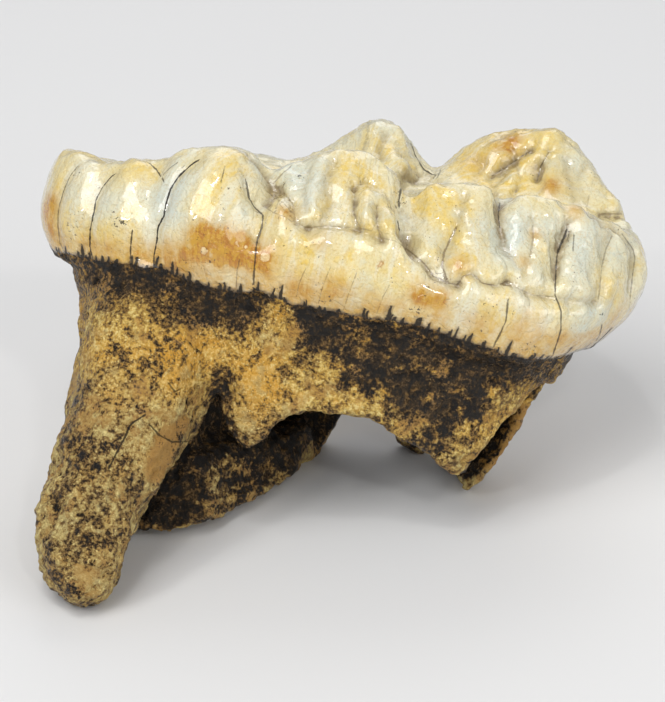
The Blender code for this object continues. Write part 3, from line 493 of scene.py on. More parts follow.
def pixel_ray(camera, pixel):
    """The line of sight through a pixel of the photograph, in the tooth frame: start and direction."""
    across = (pixel[0] - FRAME_SIZE[0] / 2) / FOCAL_PIXELS
    down = (pixel[1] - FRAME_SIZE[1] / 2) / FOCAL_PIXELS
    turn = camera.rotation_euler.to_matrix()
    to_tooth = TOOTH_TO_ROW.inverted()
    start = to_tooth @ camera.location
    direction = to_tooth.to_3x3() @ (turn @ Vector((across, -down, -1)))
    return start, direction.normalized()


def skin_point(camera, tree, pixel):
    """Where the line of sight through a pixel meets the skin, or comes nearest to it."""
    start, direction = pixel_ray(camera, pixel)
    hit = tree.ray_cast(start, direction)[0]
    if hit is None:
        reach = (Vector((0, 0, 0)) - start).dot(direction)
        hit = tree.find_nearest(start + direction * reach)[0]
    return hit


def closely(line, step, rounded=math.ceil):
    """The line with points about this close together."""
    points = []
    for start, end in zip(line, line[1:]):
        count = max(1, rounded(math.dist(start, end) / step))
        points += [tuple(a + (b - a) * i / count for a, b in zip(start, end)) for i in range(count)]
    return points + [line[-1]]


def carry(camera, tree, pixels):
    """The pixels' path laid on the skin as points of the tooth frame, without jumps to what is behind."""
    found = []
    for pixel in closely(pixels, PATH_STEP, round):
        hit = skin_point(camera, tree, pixel)
        if not found or (hit - Vector(found[-1])).length < LONGEST_JUMP:
            found.append(tuple(hit))
    return np.array(found)


def carried(camera, tree, lines):
    """The named lines with their paths laid on the skin."""
    return [(carry(camera, tree, pixels), *sizes) for pixels, *sizes in lines.values()]


def near_path(points, normals, path, reach, slack=0.0):
    """For the points within reach of the path: their indices, distance, side and overrun.

    The overrun is how far past either end of the path a point lies; up to the slack, a path that
    runs above or below the skin counts as lying on it."""
    low, high = path.min(axis=0) - reach, path.max(axis=0) + reach
    index = np.nonzero(((points > low) & (points < high)).all(axis=1))[0]
    place, up = points[index], normals[index]
    nearest = np.full(len(index), np.inf)
    side, past = np.zeros((2, len(index)))
    for i, (start, end) in enumerate(zip(path, path[1:])):
        along = end - start
        length = max(np.linalg.norm(along), 1e-6)
        reached = (place - start) @ along / length
        over = np.zeros(len(index))
        if i == 0:
            over = np.maximum(over, -reached)
        if i == len(path) - 2:
            over = np.maximum(over, reached - length)
        away = place - (start + np.clip(reached / length, 0, 1)[:, None] * along)
        lift = (away * up).sum(axis=1)
        flat = away - up * lift[:, None]
        distance = np.linalg.norm(away, axis=1)
        if slack:
            distance = np.linalg.norm(flat, axis=1) + LIFT_COST * np.maximum(np.abs(lift) - slack, 0)
        closer = distance < nearest
        turned = (flat * np.cross(up, along)).sum(axis=1)
        side = np.where(closer, np.sign(turned), side)
        past = np.where(closer, over, past)
        nearest = np.minimum(nearest, distance)
    keep = nearest < reach
    return index[keep], nearest[keep], side[keep], past[keep]


def press(points, normals, path, radius, depth):
    """Presses a fold into the points along the path, with soft shoulders; a negative depth raises one."""
    index, distance, _, _ = near_path(points, normals, path, FOLD_REACH * radius, FOLD_SLACK)
    d = distance / radius
    shape = np.exp(-1.6 * d * d)
    if depth > 0:  # a crease in the middle, and a slight swelling on both sides
        shape = 0.45 * shape + 0.65 * np.exp(-2.6 * d) - 0.2 * np.exp(-1.6 * (d - 1.9) ** 2)
    points[index] -= normals[index] * (depth * shape)[:, None]


def dip(points, centre, radius, depth):
    """Lowers the crest around a place."""
    away = np.linalg.norm((points - np.array(centre))[:, :2] / (radius, DIP_STRETCH * radius), axis=1)
    points[:, 2] -= depth * np.exp(-away * away) * smooth_step(points[:, 2], *DIP_HEIGHTS)


def remeshed(obj, voxel, rounds):
    """Makes one even, smooth skin of the object."""
    remesh = obj.modifiers.new("fine", "REMESH")
    remesh.mode = "VOXEL"
    remesh.voxel_size = voxel
    smooth = obj.modifiers.new("soften", "SMOOTH")
    smooth.factor = 0.5
    smooth.iterations = rounds
    bake(obj)


def rough_shift(x, y, z):
    """How far a broken edge wanders at this place, in X and Z."""
    shift = Vector((0, 0, 0))
    for size, height in BREAK_ROUGHNESS:
        shift += noise.noise_vector(Vector((x, y, z)) / size) * height
    return shift


def broken_off(skin, edge, all_in_front, y_range):
    """Cuts away what is under a broken edge, with a rough break."""
    rough = closely(edge, BREAK_STEP)
    last = edge[-1]
    corners = [(last[0], BREAK_BOTTOM)]
    if all_in_front:
        corners = [(BREAK_FRONT, last[1]), (BREAK_FRONT, BREAK_BOTTOM)]
    corners.append((edge[0][0], BREAK_BOTTOM))
    layers = math.ceil((y_range[1] - y_range[0]) / BREAK_STEP)
    bm = bmesh.new()
    rows = []
    for layer in range(layers + 1):
        y = y_range[0] + (y_range[1] - y_range[0]) * layer / layers
        row = []
        for x, z in rough:
            shift = rough_shift(x, y, z)
            row.append(bm.verts.new((x + shift.x, y, z + shift.z)))
        rows.append(row + [bm.verts.new((x, y, z)) for x, z in corners])
    for low, high in zip(rows, rows[1:]):
        for i in range(len(low)):
            j = (i + 1) % len(low)
            bm.faces.new((low[i], low[j], high[j], high[i]))
    bm.faces.new(rows[0])
    bm.faces.new(rows[-1])
    bmesh.ops.recalc_face_normals(bm, faces=bm.faces)
    mesh = bpy.data.meshes.new("gone")
    bm.to_mesh(mesh)
    bm.free()
    gone = bpy.data.objects.new("gone", mesh)
    bpy.context.scene.collection.objects.link(gone)
    cut = skin.modifiers.new("break", "BOOLEAN")
    cut.operation = "DIFFERENCE"
    cut.solver = "MANIFOLD"
    cut.object = gone
    bake(skin)
    bpy.data.objects.remove(gone)


def base_skin():
    """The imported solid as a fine, smooth skin with rough broken edges, in the tooth frame."""
    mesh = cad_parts["cave_bear_tooth"].data.copy()
    mesh.name = "tooth_skin"
    mesh.transform(TOOTH_TO_ROW.inverted())
    skin = bpy.data.objects.new("tooth_skin", mesh)
    bpy.context.scene.collection.objects.link(skin)
    remeshed(skin, SMOOTH_VOXEL, SMOOTH_ROUNDS)
    noise.seed_set(SEED)  # noise_vector would start from the clock, and each run would break differently
    for edge, all_in_front, y_range in BREAKS:
        broken_off(skin, edge, all_in_front, y_range)
    remeshed(skin, SKIN_VOXEL, SKIN_ROUNDS)
    return skin


def thin_out(obj):
    """Keeps about as many triangles as the limit."""
    obj.data.calc_loop_triangles()
    fewer = obj.modifiers.new("thin_out", "DECIMATE")
    fewer.ratio = min(1, TRIANGLE_LIMIT / len(obj.data.loop_triangles))
    bake(obj)


def wall_point(tree, angle, z):
    """The crown's wall at this angle round its middle (0 is the front end) and this height."""
    out = Vector((math.cos(angle), math.sin(angle), 0))
    start = Vector((CROWN_MIDDLE_X, 0, z)) + out * FAR_OFF
    return tree.ray_cast(start, -out)[0]


def top_point(tree, x, y):
    """The biting surface over this place."""
    return tree.ray_cast(Vector((x, y, FAR_OFF)), Vector((0, 0, -1)))[0]


def cheek_point(tree, x, z):
    """The cheek side at this place, seen square on."""
    return tree.ray_cast(Vector((x, FAR_OFF, z)), Vector((0, -1, 0)))[0]


def path_of(hits):
    """The path through the rays' hits, without the misses."""
    return np.array([tuple(hit) for hit in hits if hit is not None])


def seeded_wrinkles(tree):
    """Wrinkles that run from the valley of the biting surface out to its crests: (path, radius, depth)."""
    random = np.random.default_rng(SEED)
    made = []
    for i in range(WRINKLES):
        x = WRINKLES_FROM + WRINKLES_SPAN * (i + 0.8 * random.random()) / WRINKLES
        side = 1 if i % 2 else -1
        lean, wave = random.uniform(*WRINKLE["lean"]), random.uniform(*WRINKLE["wave"])
        start, end = random.uniform(*WRINKLE["start"]), random.uniform(*WRINKLE["end"])
        hits = []
        for step in range(WRINKLE_STEPS + 1):
            y = start + (end - start) * step / WRINKLE_STEPS
            bend = wave * math.sin(2.2 * y + i)
            hits.append(top_point(tree, x + lean * y + bend, side * y))
        made.append((path_of(hits), random.uniform(*WRINKLE["radius"]), random.uniform(*WRINKLE["depth"])))
    winding = [(x, 0.5 * math.sin(x / 1.7) + 0.25 * math.sin(x / 0.8)) for x in np.arange(*VALLEY_X)]
    made.append((path_of(top_point(tree, x, y) for x, y in winding), *VALLEY_FOLD))
    return made


def cheek_folds(tree):
    """The cheek wall's upright grooves and swellings: (path, radius, depth)."""
    made = []
    for foot, lean, top, radius, depth in CHEEK_GROOVES:
        hits = []
        for z in np.arange(CHEEK_FOLD_FOOT, top, CHEEK_FOLD_STEP):
            waver = 0.12 * math.sin(1.3 * z + foot)
            hits.append(cheek_point(tree, foot + lean * (z - CHEEK_FOLD_FOOT) + waver, z))
        made.append((path_of(hits), radius, depth))
    return made


def hidden_stains(tree):
    """Stains for the cheek side and the underside: kind: [(place, radius, strength)]."""
    random = np.random.default_rng(SEED + 2)
    made = {}
    for kind, (count, radii, low, high) in HIDDEN_STAINS.items():
        made[kind] = []
        for _ in range(count):
            x, z = random.uniform(*HIDDEN_STAINS_X), random.uniform(low, high)
            radius, strength = random.uniform(*radii), random.uniform(0.5, 1.0)
            hit = cheek_point(tree, x, z)
            if hit is not None:
                made[kind].append((hit, radius, strength))
    return made


def hidden_cracks(tree):
    """Upright hairline cracks on the cheek side and the two ends: (path, half width, darkness)."""
    random = np.random.default_rng(SEED + 1)
    made = []
    for i in range(HIDDEN_CRACKS):
        angle = math.radians(-8 + 196 * (i + random.uniform(0.1, 0.9)) / HIDDEN_CRACKS)
        top, drift = random.uniform(*HIDDEN_CRACK["top"]), random.uniform(*HIDDEN_CRACK["drift"])
        hits = []
        for z in np.arange(HIDDEN_CRACK_FOOT, top, HIDDEN_CRACK_STEP):
            waver = 0.012 * math.sin(1.7 * z + 5 * i)
            hits.append(wall_point(tree, angle + drift * (z - 1) / 3 + waver, z))
        path = path_of(hits)
        if len(path) > 2:
            width = random.uniform(*HIDDEN_CRACK["half width"])
            made.append((path, width, random.uniform(*HIDDEN_CRACK["darkness"])))
    return made


def heights(points, tongue_edge):
    """Each point's height above the enamel's edge: above 0 is crown, under 0 is root."""
    tongue = np.interp(points[:, 0], *tongue_edge)
    cheek = np.interp(points[:, 0], *np.array(CHEEK_EDGE).T)
    share = smooth_step(points[:, 1], *EDGE_CHANGE_Y)
    return points[:, 2] - (tongue + (cheek - tongue) * share)


def climbs(height, normals):
    """The height above the enamel's edge measured along the skin, longer where the crown overhangs."""
    steep = np.linalg.norm(normals[:, :2], axis=1)
    return height / np.maximum(steep, 0.25)


def outline_length(angle):
    """How far along the crown's outline an angle is, from the middle of the cheek side; its length."""
    turn = np.linspace(0, 2 * math.pi, 721)
    outline = np.column_stack([CROWN_HALF[0] * -np.sin(turn), CROWN_HALF[1] * np.cos(turn)])
    length = np.concatenate([[0], np.cumsum(np.linalg.norm(np.diff(outline, axis=0), axis=1))])
    return np.interp(angle % (2 * math.pi), turn, length), length[-1]


def around(points):
    """Each point's place round the crown, as a length along its outline; and the whole length."""
    back = -(points[:, 0] - CROWN_MIDDLE_X) / CROWN_HALF[0]
    return outline_length(np.arctan2(back, points[:, 1] / CROWN_HALF[1]))


def square_around(points):
    """The place round the crown carried along lines that leave its outline squarely (hyperbolas)."""
    focus = math.sqrt(CROWN_HALF[0] ** 2 - CROWN_HALF[1] ** 2)
    place = (points[:, 0] - CROWN_MIDDLE_X + 1j * points[:, 1]) / focus
    return outline_length(np.arccosh(place).imag - math.pi / 2)[0]


def creased(place, layers):
    """How high the skin stands at this place between thin, branching creases."""
    height = 0.0
    for size, depth, between, shift in layers:
        height += between - depth * abs(noise.noise(place / size + Vector(shift)))
    return height


def crumple(points, normals, height, along):
    """Small natural unevenness: lumps and pits on the root, faint ribs and wrinkles on the crown."""
    moves = np.zeros(len(points))
    biting = smooth_step(normals[:, 2], 0.25, 0.6) * smooth_step(height, 4, 6)
    root_share = smooth_step(0.3 - height, 0, 0.6)
    crown_share = smooth_step(height, 0.3, 1.1)
    # knobblier at the tip of the long root, and more fluted on the tongue side of the front cusp
    knobbly = 1 + 0.7 * smooth_step(-points[:, 2], 11, 14)
    fluted = smooth_step(points[:, 0], 4, 7) * smooth_step(-points[:, 1], 1, 3) * smooth_step(height, 3, 5)
    for i, point in enumerate(points):
        place = Vector(point)
        if root_share[i] > 0:
            rough = sum(rise * noise.noise(place / size) for size, rise in ROOT_LUMPS)
            pit = max(0.0, noise.noise(place / PIT_SIZE + Vector((9, 3, 1))) - PIT_LEVEL)
            moves[i] = (rough * knobbly[i] - PIT_DEPTH * pit) * root_share[i]
        elif crown_share[i] > 0:
            rib = 0.0
            for width, length, shift, rise in CROWN_RIBS:
                rib += noise.noise(Vector((along[i] / width, height[i] / length, shift))) * rise
            rib += noise.noise(place / CROWN_WAVES[0]) * CROWN_WAVES[1]
            rib += creased(place, WALL_CREASES)
            wrinkle = creased(place, BITING_CREASES)
            rib_share = 1 + 1.3 * fluted[i]
            moves[i] = (rib * rib_share + (wrinkle - rib) * biting[i]) * crown_share[i]
    points += normals * moves[:, None]


def occlusion(tree, points, normals):
    """How deep in a fold and how sheltered by the rest of the tooth each point is, from 0 to 1; the
    material paints shade from both.
    """
    turn = np.arange(OPEN_RAYS) * math.pi * (3 - math.sqrt(5))
    lift = 1 - (np.arange(OPEN_RAYS) + 0.5) / OPEN_RAYS * RAY_SPREAD
    flat = np.sqrt(1 - lift * lift)
    rays = np.column_stack([flat * np.cos(turn), flat * np.sin(turn), lift])
    cavity, shelter = np.zeros((2, len(points)))
    for i, (point, up) in enumerate(zip(points, normals)):
        side = np.cross(up, (0.0, 0.0, 1.0) if abs(up[2]) < 0.9 else (1.0, 0.0, 0.0))
        side /= np.linalg.norm(side)
        start = Vector(point + up * RAY_START)
        for ray in rays @ np.array([side, np.cross(up, side), up]):
            distance = tree.ray_cast(start, Vector(ray), SHELTER_REACH)[3]
            if distance is not None:
                shelter[i] += 1 / OPEN_RAYS
                cavity[i] += max(0.0, 1 - distance / CAVITY_REACH) / OPEN_RAYS
    return cavity, shelter


def keep(mesh, name, values):
    """Stores one value for each point of the mesh, for the material to read."""
    kind, member = ("FLOAT", "value") if values.ndim == 1 else ("FLOAT_VECTOR", "vector")
    attribute = mesh.attributes.new(name, kind, "POINT")
    attribute.data.foreach_set(member, values.astype(np.float32).ravel())


def keep_lines(mesh, kind, points, normals, paths):
    """Stores the nearest line of this kind: its signed and plain distance, width and darkness."""
    gap, width = np.full(len(points), LINE_REACH), np.full(len(points), NO_LINE_WIDTH)
    side, dark = np.zeros((2, len(points)))
    for path, half_width, darkness in paths:
        index, distance, turned, past = near_path(points, normals, path, LINE_REACH)
        closer = distance < gap[index]
        index, distance, turned, past = index[closer], distance[closer], turned[closer], past[closer]
        gap[index], side[index] = distance, turned
        width[index], dark[index] = half_width - LINE_TAPER * past, darkness
    for part, values in (("side", side * gap), ("gap", gap), ("width", width), ("dark", dark)):
        keep(mesh, f"{kind}_{part}", values)


def keep_stains(mesh, points, tree, camera):
    """Stores how strong each kind of stain is (the black kind also holds painted shade), and the round
    pits: above 0 is inside one.
    """
    hidden = hidden_stains(tree)
    for kind, spots in SEEN_STAINS.items():
        amount = np.zeros(len(points))
        placed = [(skin_point(camera, tree, spot[:2]), *spot[2:]) for spot in spots]
        for centre, radius, strength in placed + hidden.get(kind, []):
            distance = np.linalg.norm(points - np.array(centre), axis=1)
            amount += strength * np.exp(-((distance / radius) ** 2))
        keep(mesh, kind, np.minimum(amount, MOST_STAIN))
    pit = np.full(len(points), -1.0)
    for *pixel, radius in SEEN_PITS:
        distance = np.linalg.norm(points - np.array(skin_point(camera, tree, pixel)), axis=1)
        pit = np.maximum(pit, 1 - distance / radius)
    keep(mesh, "pit", pit)


class Value:
    """What a shader node gives: a number, place or colour, used with plain arithmetic."""

    def __init__(self, nodes, socket):
        self.nodes, self.socket = nodes, socket

    def __rsub__(self, other):
        return self.nodes.math("SUBTRACT", other, self)

    def __abs__(self):
        return self.nodes.math("ABSOLUTE", self, 0.0)

    def clamped(self):
        """The same number, kept between 0 and 1."""
        self.socket.node.use_clamp = True
        return self

    def ramp(self, low=NOISE_LOW, high=NOISE_HIGH, start=0.0, end=1.0):
        """Its share of the way from low to high, eased, as start to end."""
        inputs = {"Value": self, "From Min": low, "From Max": high, "To Min": start, "To Max": end}
        return self.nodes.new("MapRange", "Result", inputs, interpolation_type="SMOOTHSTEP")

    def toned(self, tones):
        """The colour that the list of (position, colour) gives it."""
        made = self.nodes.new("ValToRGB", "Color", {"Fac": self})
        stops = made.socket.node.color_ramp.elements
        for stop, (position, colour) in zip(stops, (tones[0], tones[-1])):
            stop.position, stop.color = position, colour
        for position, colour in tones[1:-1]:
            stops.new(position).color = colour
        return made


SIGNS = {"add": "ADD", "sub": "SUBTRACT", "mul": "MULTIPLY", "truediv": "DIVIDE", "pow": "POWER"}
for sign, operation in SIGNS.items():
    setattr(Value, f"__{sign}__", lambda a, b, operation=operation: a.nodes.math(operation, a, b))


class Nodes:
    """Short names for the shader nodes that the materials use."""

    def __init__(self, material):
        material.use_nodes = True
        self.tree = material.node_tree

    def put(self, socket, value):
        if isinstance(value, Value):
            self.tree.links.new(value.socket, socket)
        else:
            socket.default_value = value

    def new(self, kind, output, inputs=(), **settings):
        node = self.tree.nodes.new("ShaderNode" + kind)
        for name, value in settings.items():
            setattr(node, name, value)
        for name, value in dict(inputs).items():
            self.put(node.inputs[name], value)
        return Value(self, node.outputs[output])

    def shade(self, sockets):
        """Sets the shader's own sockets."""
        for name, value in sockets.items():
            self.put(self.tree.nodes["Principled BSDF"].inputs[name], value)

    def kept(self, name):
        """What the skin keeps under this name."""
        return self.new("Attribute", "Vector" if name == "place" else "Fac", attribute_name=name)

    def math(self, operation, a, b):
        return self.new("Math", 0, {0: a, 1: b}, operation=operation)

    def larger(self, a, b):
        return self.math("MAXIMUM", a, b)

    def vector(self, x, y):
        return self.new("CombineXYZ", 0, {"X": x, "Y": y})

    def mix(self, share, a, b):
        """The colour a with this share of the colour b."""
        return self.new("Mix", 2, {"Factor": share, 6: a, 7: b}, data_type="RGBA")

    def blend(self, share, a, b):
        """The number a with this share of the number b."""
        return self.new("Mix", 0, {"Factor": share, 2: a, 3: b})

    def noise(self, place, scale, detail=4.0, rough=0.55, warp=0.0):
        inputs = {"Vector": place, "Scale": scale, "Detail": detail, "Roughness": rough, "Distortion": warp}
        return self.new("TexNoise", "Fac", inputs)


def enamel(n, place, height, along):
    """The crown's colour, roughness and bump height."""
    upright = n.vector(along, height * 0.2)
    some = n.noise(place, 2.2, 5, 0.65).ramp() * 0.5 + 0.5
    colour = n.mix(n.noise(place, 0.25, 3, 0.5).ramp(), CREAM, IVORY)
    yellow = n.noise(place, 0.4, 4, 0.6, 0.6).ramp(0.46, 0.64) * 0.6
    yellow = (yellow + n.kept("yellow") * 1.2).clamped()
    colour = n.mix(yellow * some, colour, YELLOW)
    # upright streaks, broad and fine
    streak = n.noise(upright, 0.9, 5, 0.6).ramp(0.46, 0.66)
    colour = n.mix(streak * 0.65, colour, PALE)
    streak = n.noise(upright, 3.2, 4, 0.65).ramp(0.50, 0.68)
    colour = n.mix(streak * 0.35, colour, STREAK)
    pale = n.kept("pale") + n.noise(place, 0.33, 3, 0.5).ramp(0.55, 0.65) * 0.5
    pale = pale * n.noise(upright, 0.8, 4).ramp(0.25, 0.5)
    colour = n.mix((pale * 0.85).clamped(), colour, BLUE_WHITE)
    # honey from the edge of the enamel upwards, and amber where it is kept
    low = height + (n.noise(place, 0.5, 4) - 0.5) * 7.0
    colour = n.mix(low.ramp(3.0, 0.0) * 0.85 * some, colour, HONEY)
    ragged = n.noise(upright, 1.3, 5, 0.6).ramp(0.3, 0.7) * 0.5 - 0.25
    cloudy = n.noise(place, 0.7, 5, 0.65).ramp(0.3, 0.7) - 0.5
    amber = (n.kept("amber") * (ragged + cloudy * 0.7 + 0.85)).clamped()
    colour = n.mix((amber * 1.45).clamped(), colour, HONEY)
    streaks = n.noise(upright, 2.6, 5, 0.7).ramp(0.42, 0.60) + n.noise(place, 1.1, 6, 0.7).ramp(0.44, 0.56)
    deep = amber.ramp(0.3, 0.9) * streaks.ramp(0.5, 1.6)
    colour = n.mix(deep * 0.95, colour, AMBER)
    fine = n.noise(place, 6.0, 4, 0.7)
    colour = n.mix(fine.ramp(0.46, 0.7) * 0.35, colour, HONEY)
    # round pits with brown rims, and black specks
    pit = n.kept("pit") + (fine - 0.5) * 0.8
    colour = n.mix(pit.ramp(-0.3, 0.05) * 0.7, colour, AMBER)
    colour = n.mix(pit.ramp(0.05, 0.25) * some, colour, PIT)
    gathered = n.noise(place, 0.45, 3).ramp(0.50, 0.62) * 0.07 + n.kept("specks") * 0.13
    specks = (n.noise(place, 3.4, 4, 0.7) + gathered).ramp(0.70, 0.73)
    colour = n.mix(specks * 0.85, colour, CRACK)
    rough = n.noise(place, 1.4, 4) * 0.3 + 0.02
    crinkle = abs(n.noise(place, 1.1, 3, 0.5, 0.4) - 0.5).ramp(0.0, 0.09, 1.0, 0.0)
    grain = n.noise(upright, 2.4, 4, 0.6) * 1.6 + n.noise(place, 2.4, 5, 0.65) * 2.0 - crinkle * 0.8
    return colour, rough, grain


def neck_cracks(n, height, along):
    """Short dark cracks that rise from the enamel's edge, all round the crown: how dark, and their halo."""
    wave = n.vector(along * 0.7, height)
    shaken = n.noise(wave, 1.0, 3) - 0.5
    ragged = n.noise(wave, 4.0, 4, 0.7) - 0.5
    dark, halo = 0.0, 0.0
    for scale, tall, wide, shift in NECK_CRACKS:
        cells = {"W": along + shift + shaken * 0.7, "Scale": scale, "Randomness": 1.0}
        gap = n.new("TexVoronoi", "Distance", cells, voronoi_dimensions="1D")
        chance = n.new("SeparateColor", 0, {0: Value(n, gap.socket.node.outputs["Color"])})
        reach = chance ** 1.6 * tall + 0.25 * tall
        left = (1.0 - height / reach).clamped()
        width = left ** 0.6 * wide + ragged * 0.22
        near = width - gap / scale
        fade = left.ramp(0.0, 0.15)
        dark = n.larger(dark, near.ramp(-0.05, 0.02) * fade)
        halo = n.larger(halo, near.ramp(-0.4, 0.0) * fade)
    above = height.ramp(-0.4, 0.0)
    return dark * above, halo * above


def kept_lines(n, kind, place):
    """The lines that have a path of their own, crisp at any fineness of the mesh."""
    wobble = (n.noise(place, 2.2, 5, 0.7) - 0.5) * 0.26
    width = n.kept(kind + "_width") + wobble
    line = (width - abs(n.kept(kind + "_side"))).ramp(-2 * LINE_SOFTNESS, LINE_SOFTNESS)
    close = n.kept(kind + "_gap").ramp(0.42, 0.30)
    return line * close * n.kept(kind + "_dark")


def root(n, place, height):
    """The root's colour, roughness and bump height: crusted ochre over brown and black."""
    coarse = n.noise(place, 0.30, 3, 0.6, 0.3).ramp()
    patch = n.noise(place, 0.75, 4, 0.6)
    lumps, grit = n.noise(place, 1.3, 5, 0.65), n.noise(place, 3.6, 5, 0.72)
    middle, fine = lumps.ramp(), grit.ramp(0.33, 0.67)
    ochre, black, shelter = n.kept("ochre"), n.kept("black"), n.kept("shelter")
    # the tone: uneven, calmer where it is sheltered (part of its painted shade), and dark in a ragged band
    # under the enamel
    tone = coarse * 0.28 + middle * 0.34 + fine * 0.46
    tone = (tone - 0.54) * shelter.ramp(0.25, 0.55, 1.15, 0.6) + 0.43 + ochre * 0.2
    tone -= (height + (middle - 0.5) * 2.2).ramp(-3.2, -0.4) * 0.30
    # the black stains, and the painted shade among them, break up where the patches are gold
    tone -= black * (patch.ramp() * 0.46 + 0.16)
    # painted shade: darker in folds and where the rest of the tooth shelters the root
    tone -= n.kept("cavity").ramp(0.20, 0.65) * 0.4
    tone -= shelter.ramp(0.20, 0.6) * 0.48
    tone = n.larger(tone, fine * (middle * 0.42))
    # gold and grey patches in what is light
    light = tone.ramp(0.3, 0.6)
    crust = n.mix((ochre * light * 0.6).clamped(), tone.toned(ROOT_TONES), ROOT_GOLD)
    crust = n.mix(patch.ramp(0.54, 0.66) * (light * 0.4), crust, ROOT_GREY)
    crust = n.mix(patch.ramp(0.46, 0.36) * (light * 0.45), crust, ROOT_GOLD)
    crust = n.mix(height.ramp(-6.0, -12.0) * (light * 0.42), crust, ROOT_GREY)
    # smooth bare patches of tan between the crust
    bare = n.noise(place, 0.42, 4, 0.6).ramp(0.56, 0.61) * 0.6
    seen = n.kept("bare") + (lumps - 0.5) * 0.8
    bare = n.larger(bare, seen.ramp(0.4, 0.7)) * tone.ramp(0.1, 0.4)
    colour = n.mix(bare * 0.85, crust, ROOT_TAN)
    # light flecks, and black specks in clusters
    flecks = n.noise(place, 5.5, 4, 0.7).ramp(0.54, 0.64) * (tone.ramp(0.25, 0.6) - bare).clamped()
    colour = n.mix(flecks * 0.75, colour, ROOT_LIGHT)
    cluster = n.noise(place, 0.5, 3, 0.5).ramp(0.44, 0.64) * 0.06 + black * 0.05
    specks = (n.noise(place, 3.2, 6, 0.75) + cluster).ramp(0.59, 0.70)
    colour = n.mix(specks * 0.72, colour, ROOT_DARK)
    rough = tone.ramp(0.15, 0.55, 0.26, 0.6)
    grain = grit * 0.9 + lumps * 1.4 - bare * 0.15
    return colour, rough, grain


def tooth_material():
    """Glossy, stained and cracked enamel above the neck; rough, mottled mineral root under it."""
    material = bpy.data.materials.new("fossil_tooth")
    n = Nodes(material)
    place, height, along = n.kept("place"), n.kept("height"), n.kept("around")
    edge = height + (n.noise(place, 1.4, 4, 0.6) - 0.5) * 0.7
    crown = edge.ramp(-0.05, 0.05)
    enamel_colour, enamel_rough, enamel_grain = enamel(n, place, height, along)
    root_colour, root_rough, root_grain = root(n, place, height)
    # a dark brown rim along the edge of the enamel
    enamel_colour = n.mix(edge.ramp(0.3, 0.04) * 0.75, enamel_colour, RIM)
    # painted shade: darker in the crown's folds and hollows and where the rest of the tooth shelters it
    cavity = (n.kept("cavity").ramp(0.15, 0.55) + n.kept("shelter").ramp(0.28, 0.75)).clamped()
    enamel_colour = n.mix(cavity * 0.8, enamel_colour, FOLD_SHADE)
    enamel_colour = n.mix((n.kept("fold") * 0.4).clamped(), enamel_colour, FOLD_SHADE)
    seams, lines = kept_lines(n, "seam", place), kept_lines(n, "crack", place)
    enamel_colour = n.mix(seams, enamel_colour, RIM)
    neck, halo = neck_cracks(n, n.kept("climb") + (edge - height), n.kept("square_around"))
    enamel_colour = n.mix(halo * 0.45, enamel_colour, RIM)
    cracks = n.larger(neck * n.kept("off_seam") * 0.95, lines)
    enamel_colour = n.mix(cracks, enamel_colour, CRACK)
    root_colour = n.mix(lines, root_colour, CRACK)
    root_lift = root_grain * 0.30 - lines * 0.1
    enamel_lift = enamel_grain * 0.045 - n.larger(cracks, seams) * 0.06 + 0.12
    lift = {"Height": n.blend(crown, root_lift, enamel_lift), "Strength": 1.0, "Distance": MM}
    n.shade({
        "Base Color": n.mix(crown, root_colour, enamel_colour),
        "Roughness": (n.blend(crown, root_rough, enamel_rough) + cracks * 0.3).clamped(),
        "Normal": n.new("Bump", "Normal", lift),
        "IOR": 1.36,
        "Coat Weight": crown * (0.9 - cracks * 0.8),
        "Coat Roughness": 0.07,
        "Coat IOR": 1.6,
    })
    return material


def floor_material():
    material = bpy.data.materials.new("pale_floor")
    n = Nodes(material)
    cloud = n.noise(n.new("TexCoord", "Object"), 6.0, 3)
    n.shade({"Base Color": n.mix(cloud, FLOOR_LIGHT, FLOOR_DARK), "Roughness": 0.75})
    return material


def add_stage():
    """A pale floor and soft studio light."""
    bpy.ops.mesh.primitive_plane_add(size=6, location=(0, 0, 0))
    floor = bpy.context.object
    floor.name = "floor"
    floor.data.materials.append(floor_material())
    for name, place, size, power in LIGHTS:
        light = bpy.data.lights.new(name, "AREA")
        light.size = size
        light.energy = power
        lamp = bpy.data.objects.new(name, light)
        lamp.location = place
        lamp.rotation_euler = (Vector(LIT_POINT) - Vector(place)).to_track_quat("-Z", "Y").to_euler()
        bpy.context.scene.collection.objects.link(lamp)
    world = bpy.data.worlds.new("studio")
    world.use_nodes = True
    background = world.node_tree.nodes["Background"].inputs
    background["Color"].default_value = WORLD_COLOUR
    background["Strength"].default_value = WORLD_STRENGTH
    bpy.context.scene.world = world
    bpy.context.scene.view_settings.view_transform = "Standard"


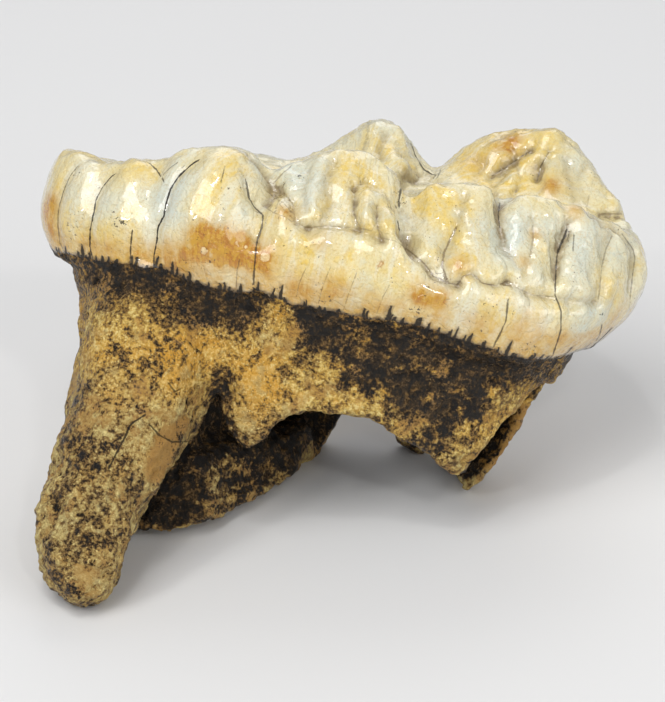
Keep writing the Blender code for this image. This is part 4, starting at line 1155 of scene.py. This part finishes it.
def shape_skin(camera, skin):
    """Gives the skin its folds, dips and small unevenness: the folds, and the enamel's edge as x and z."""
    mesh = skin.data
    points, normals = points_and_normals(mesh)
    tree = ray_tree(mesh, points)
    edge = np.array([skin_point(camera, tree, pixel) for pixel in ENAMEL_EDGE])
    tongue_edge = (edge[:, 0], edge[:, 2])
    folds = carried(camera, tree, SEEN_FOLDS) + cheek_folds(tree) + seeded_wrinkles(tree)
    for path, radius, depth in folds:
        press(points, normals, path, radius, depth)
    for *pixel, radius, depth in SEEN_DIPS:
        dip(points, skin_point(camera, tree, pixel), radius, depth)
    write_points(mesh, points)
    points, normals = points_and_normals(mesh)
    crumple(points, normals, heights(points, tongue_edge), around(points)[0])
    write_points(mesh, points)
    thin_out(skin)
    return folds, tongue_edge


def keep_looks(camera, mesh, folds, tongue_edge):
    """Stores on the mesh what its material reads: places, lines, stains, folds and shade."""
    points, normals = points_and_normals(mesh)
    tree = ray_tree(mesh, points)
    cracks = carried(camera, tree, SEEN_CRACKS) + hidden_cracks(tree)
    keep_lines(mesh, "crack", points, normals, cracks)
    keep_lines(mesh, "seam", points, normals, carried(camera, tree, SEEN_SEAMS))
    keep_stains(mesh, points, tree, camera)
    # how deep each point lies in a fold, which the crown's material paints as shade
    fold = np.zeros(len(points))
    for path, radius, depth in folds:
        index, distance, _, _ = near_path(points, normals, path, 2 * radius, FOLD_SLACK)
        shade = max(depth, 0) / FULL_FOLD * np.exp(-4 * (distance / radius) ** 2)
        fold[index] = np.maximum(fold[index], shade)
    height = heights(points, tongue_edge)
    along, length = around(points)
    cavity, shelter = occlusion(tree, points, normals)
    looks = {
        "place": points,
        "height": height,
        "climb": climbs(height, normals),
        "around": along,
        "square_around": square_around(points),
        "off_seam": smooth_step(np.minimum(along, length - along), 0.6, 0.9),
        "fold": fold,
        "cavity": cavity,
        "shelter": shelter,
    }
    for name, values in looks.items():
        keep(mesh, name, values)


def main():
    camera = add_camera()
    skin = base_skin()
    folds, tongue_edge = shape_skin(camera, skin)
    mesh = skin.data
    keep_looks(camera, mesh, folds, tongue_edge)
    mesh.transform(TOOTH_TO_ROW)
    points = points_and_normals(mesh)[0]
    points[:, 2] = np.maximum(points[:, 2], 0)  # the skin stops at the floor
    write_points(mesh, points)
    mesh.shade_smooth()
    mesh.materials.clear()
    mesh.materials.append(tooth_material())
    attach(skin, "root")
    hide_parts("cave_bear_tooth")
    add_stage()


main()
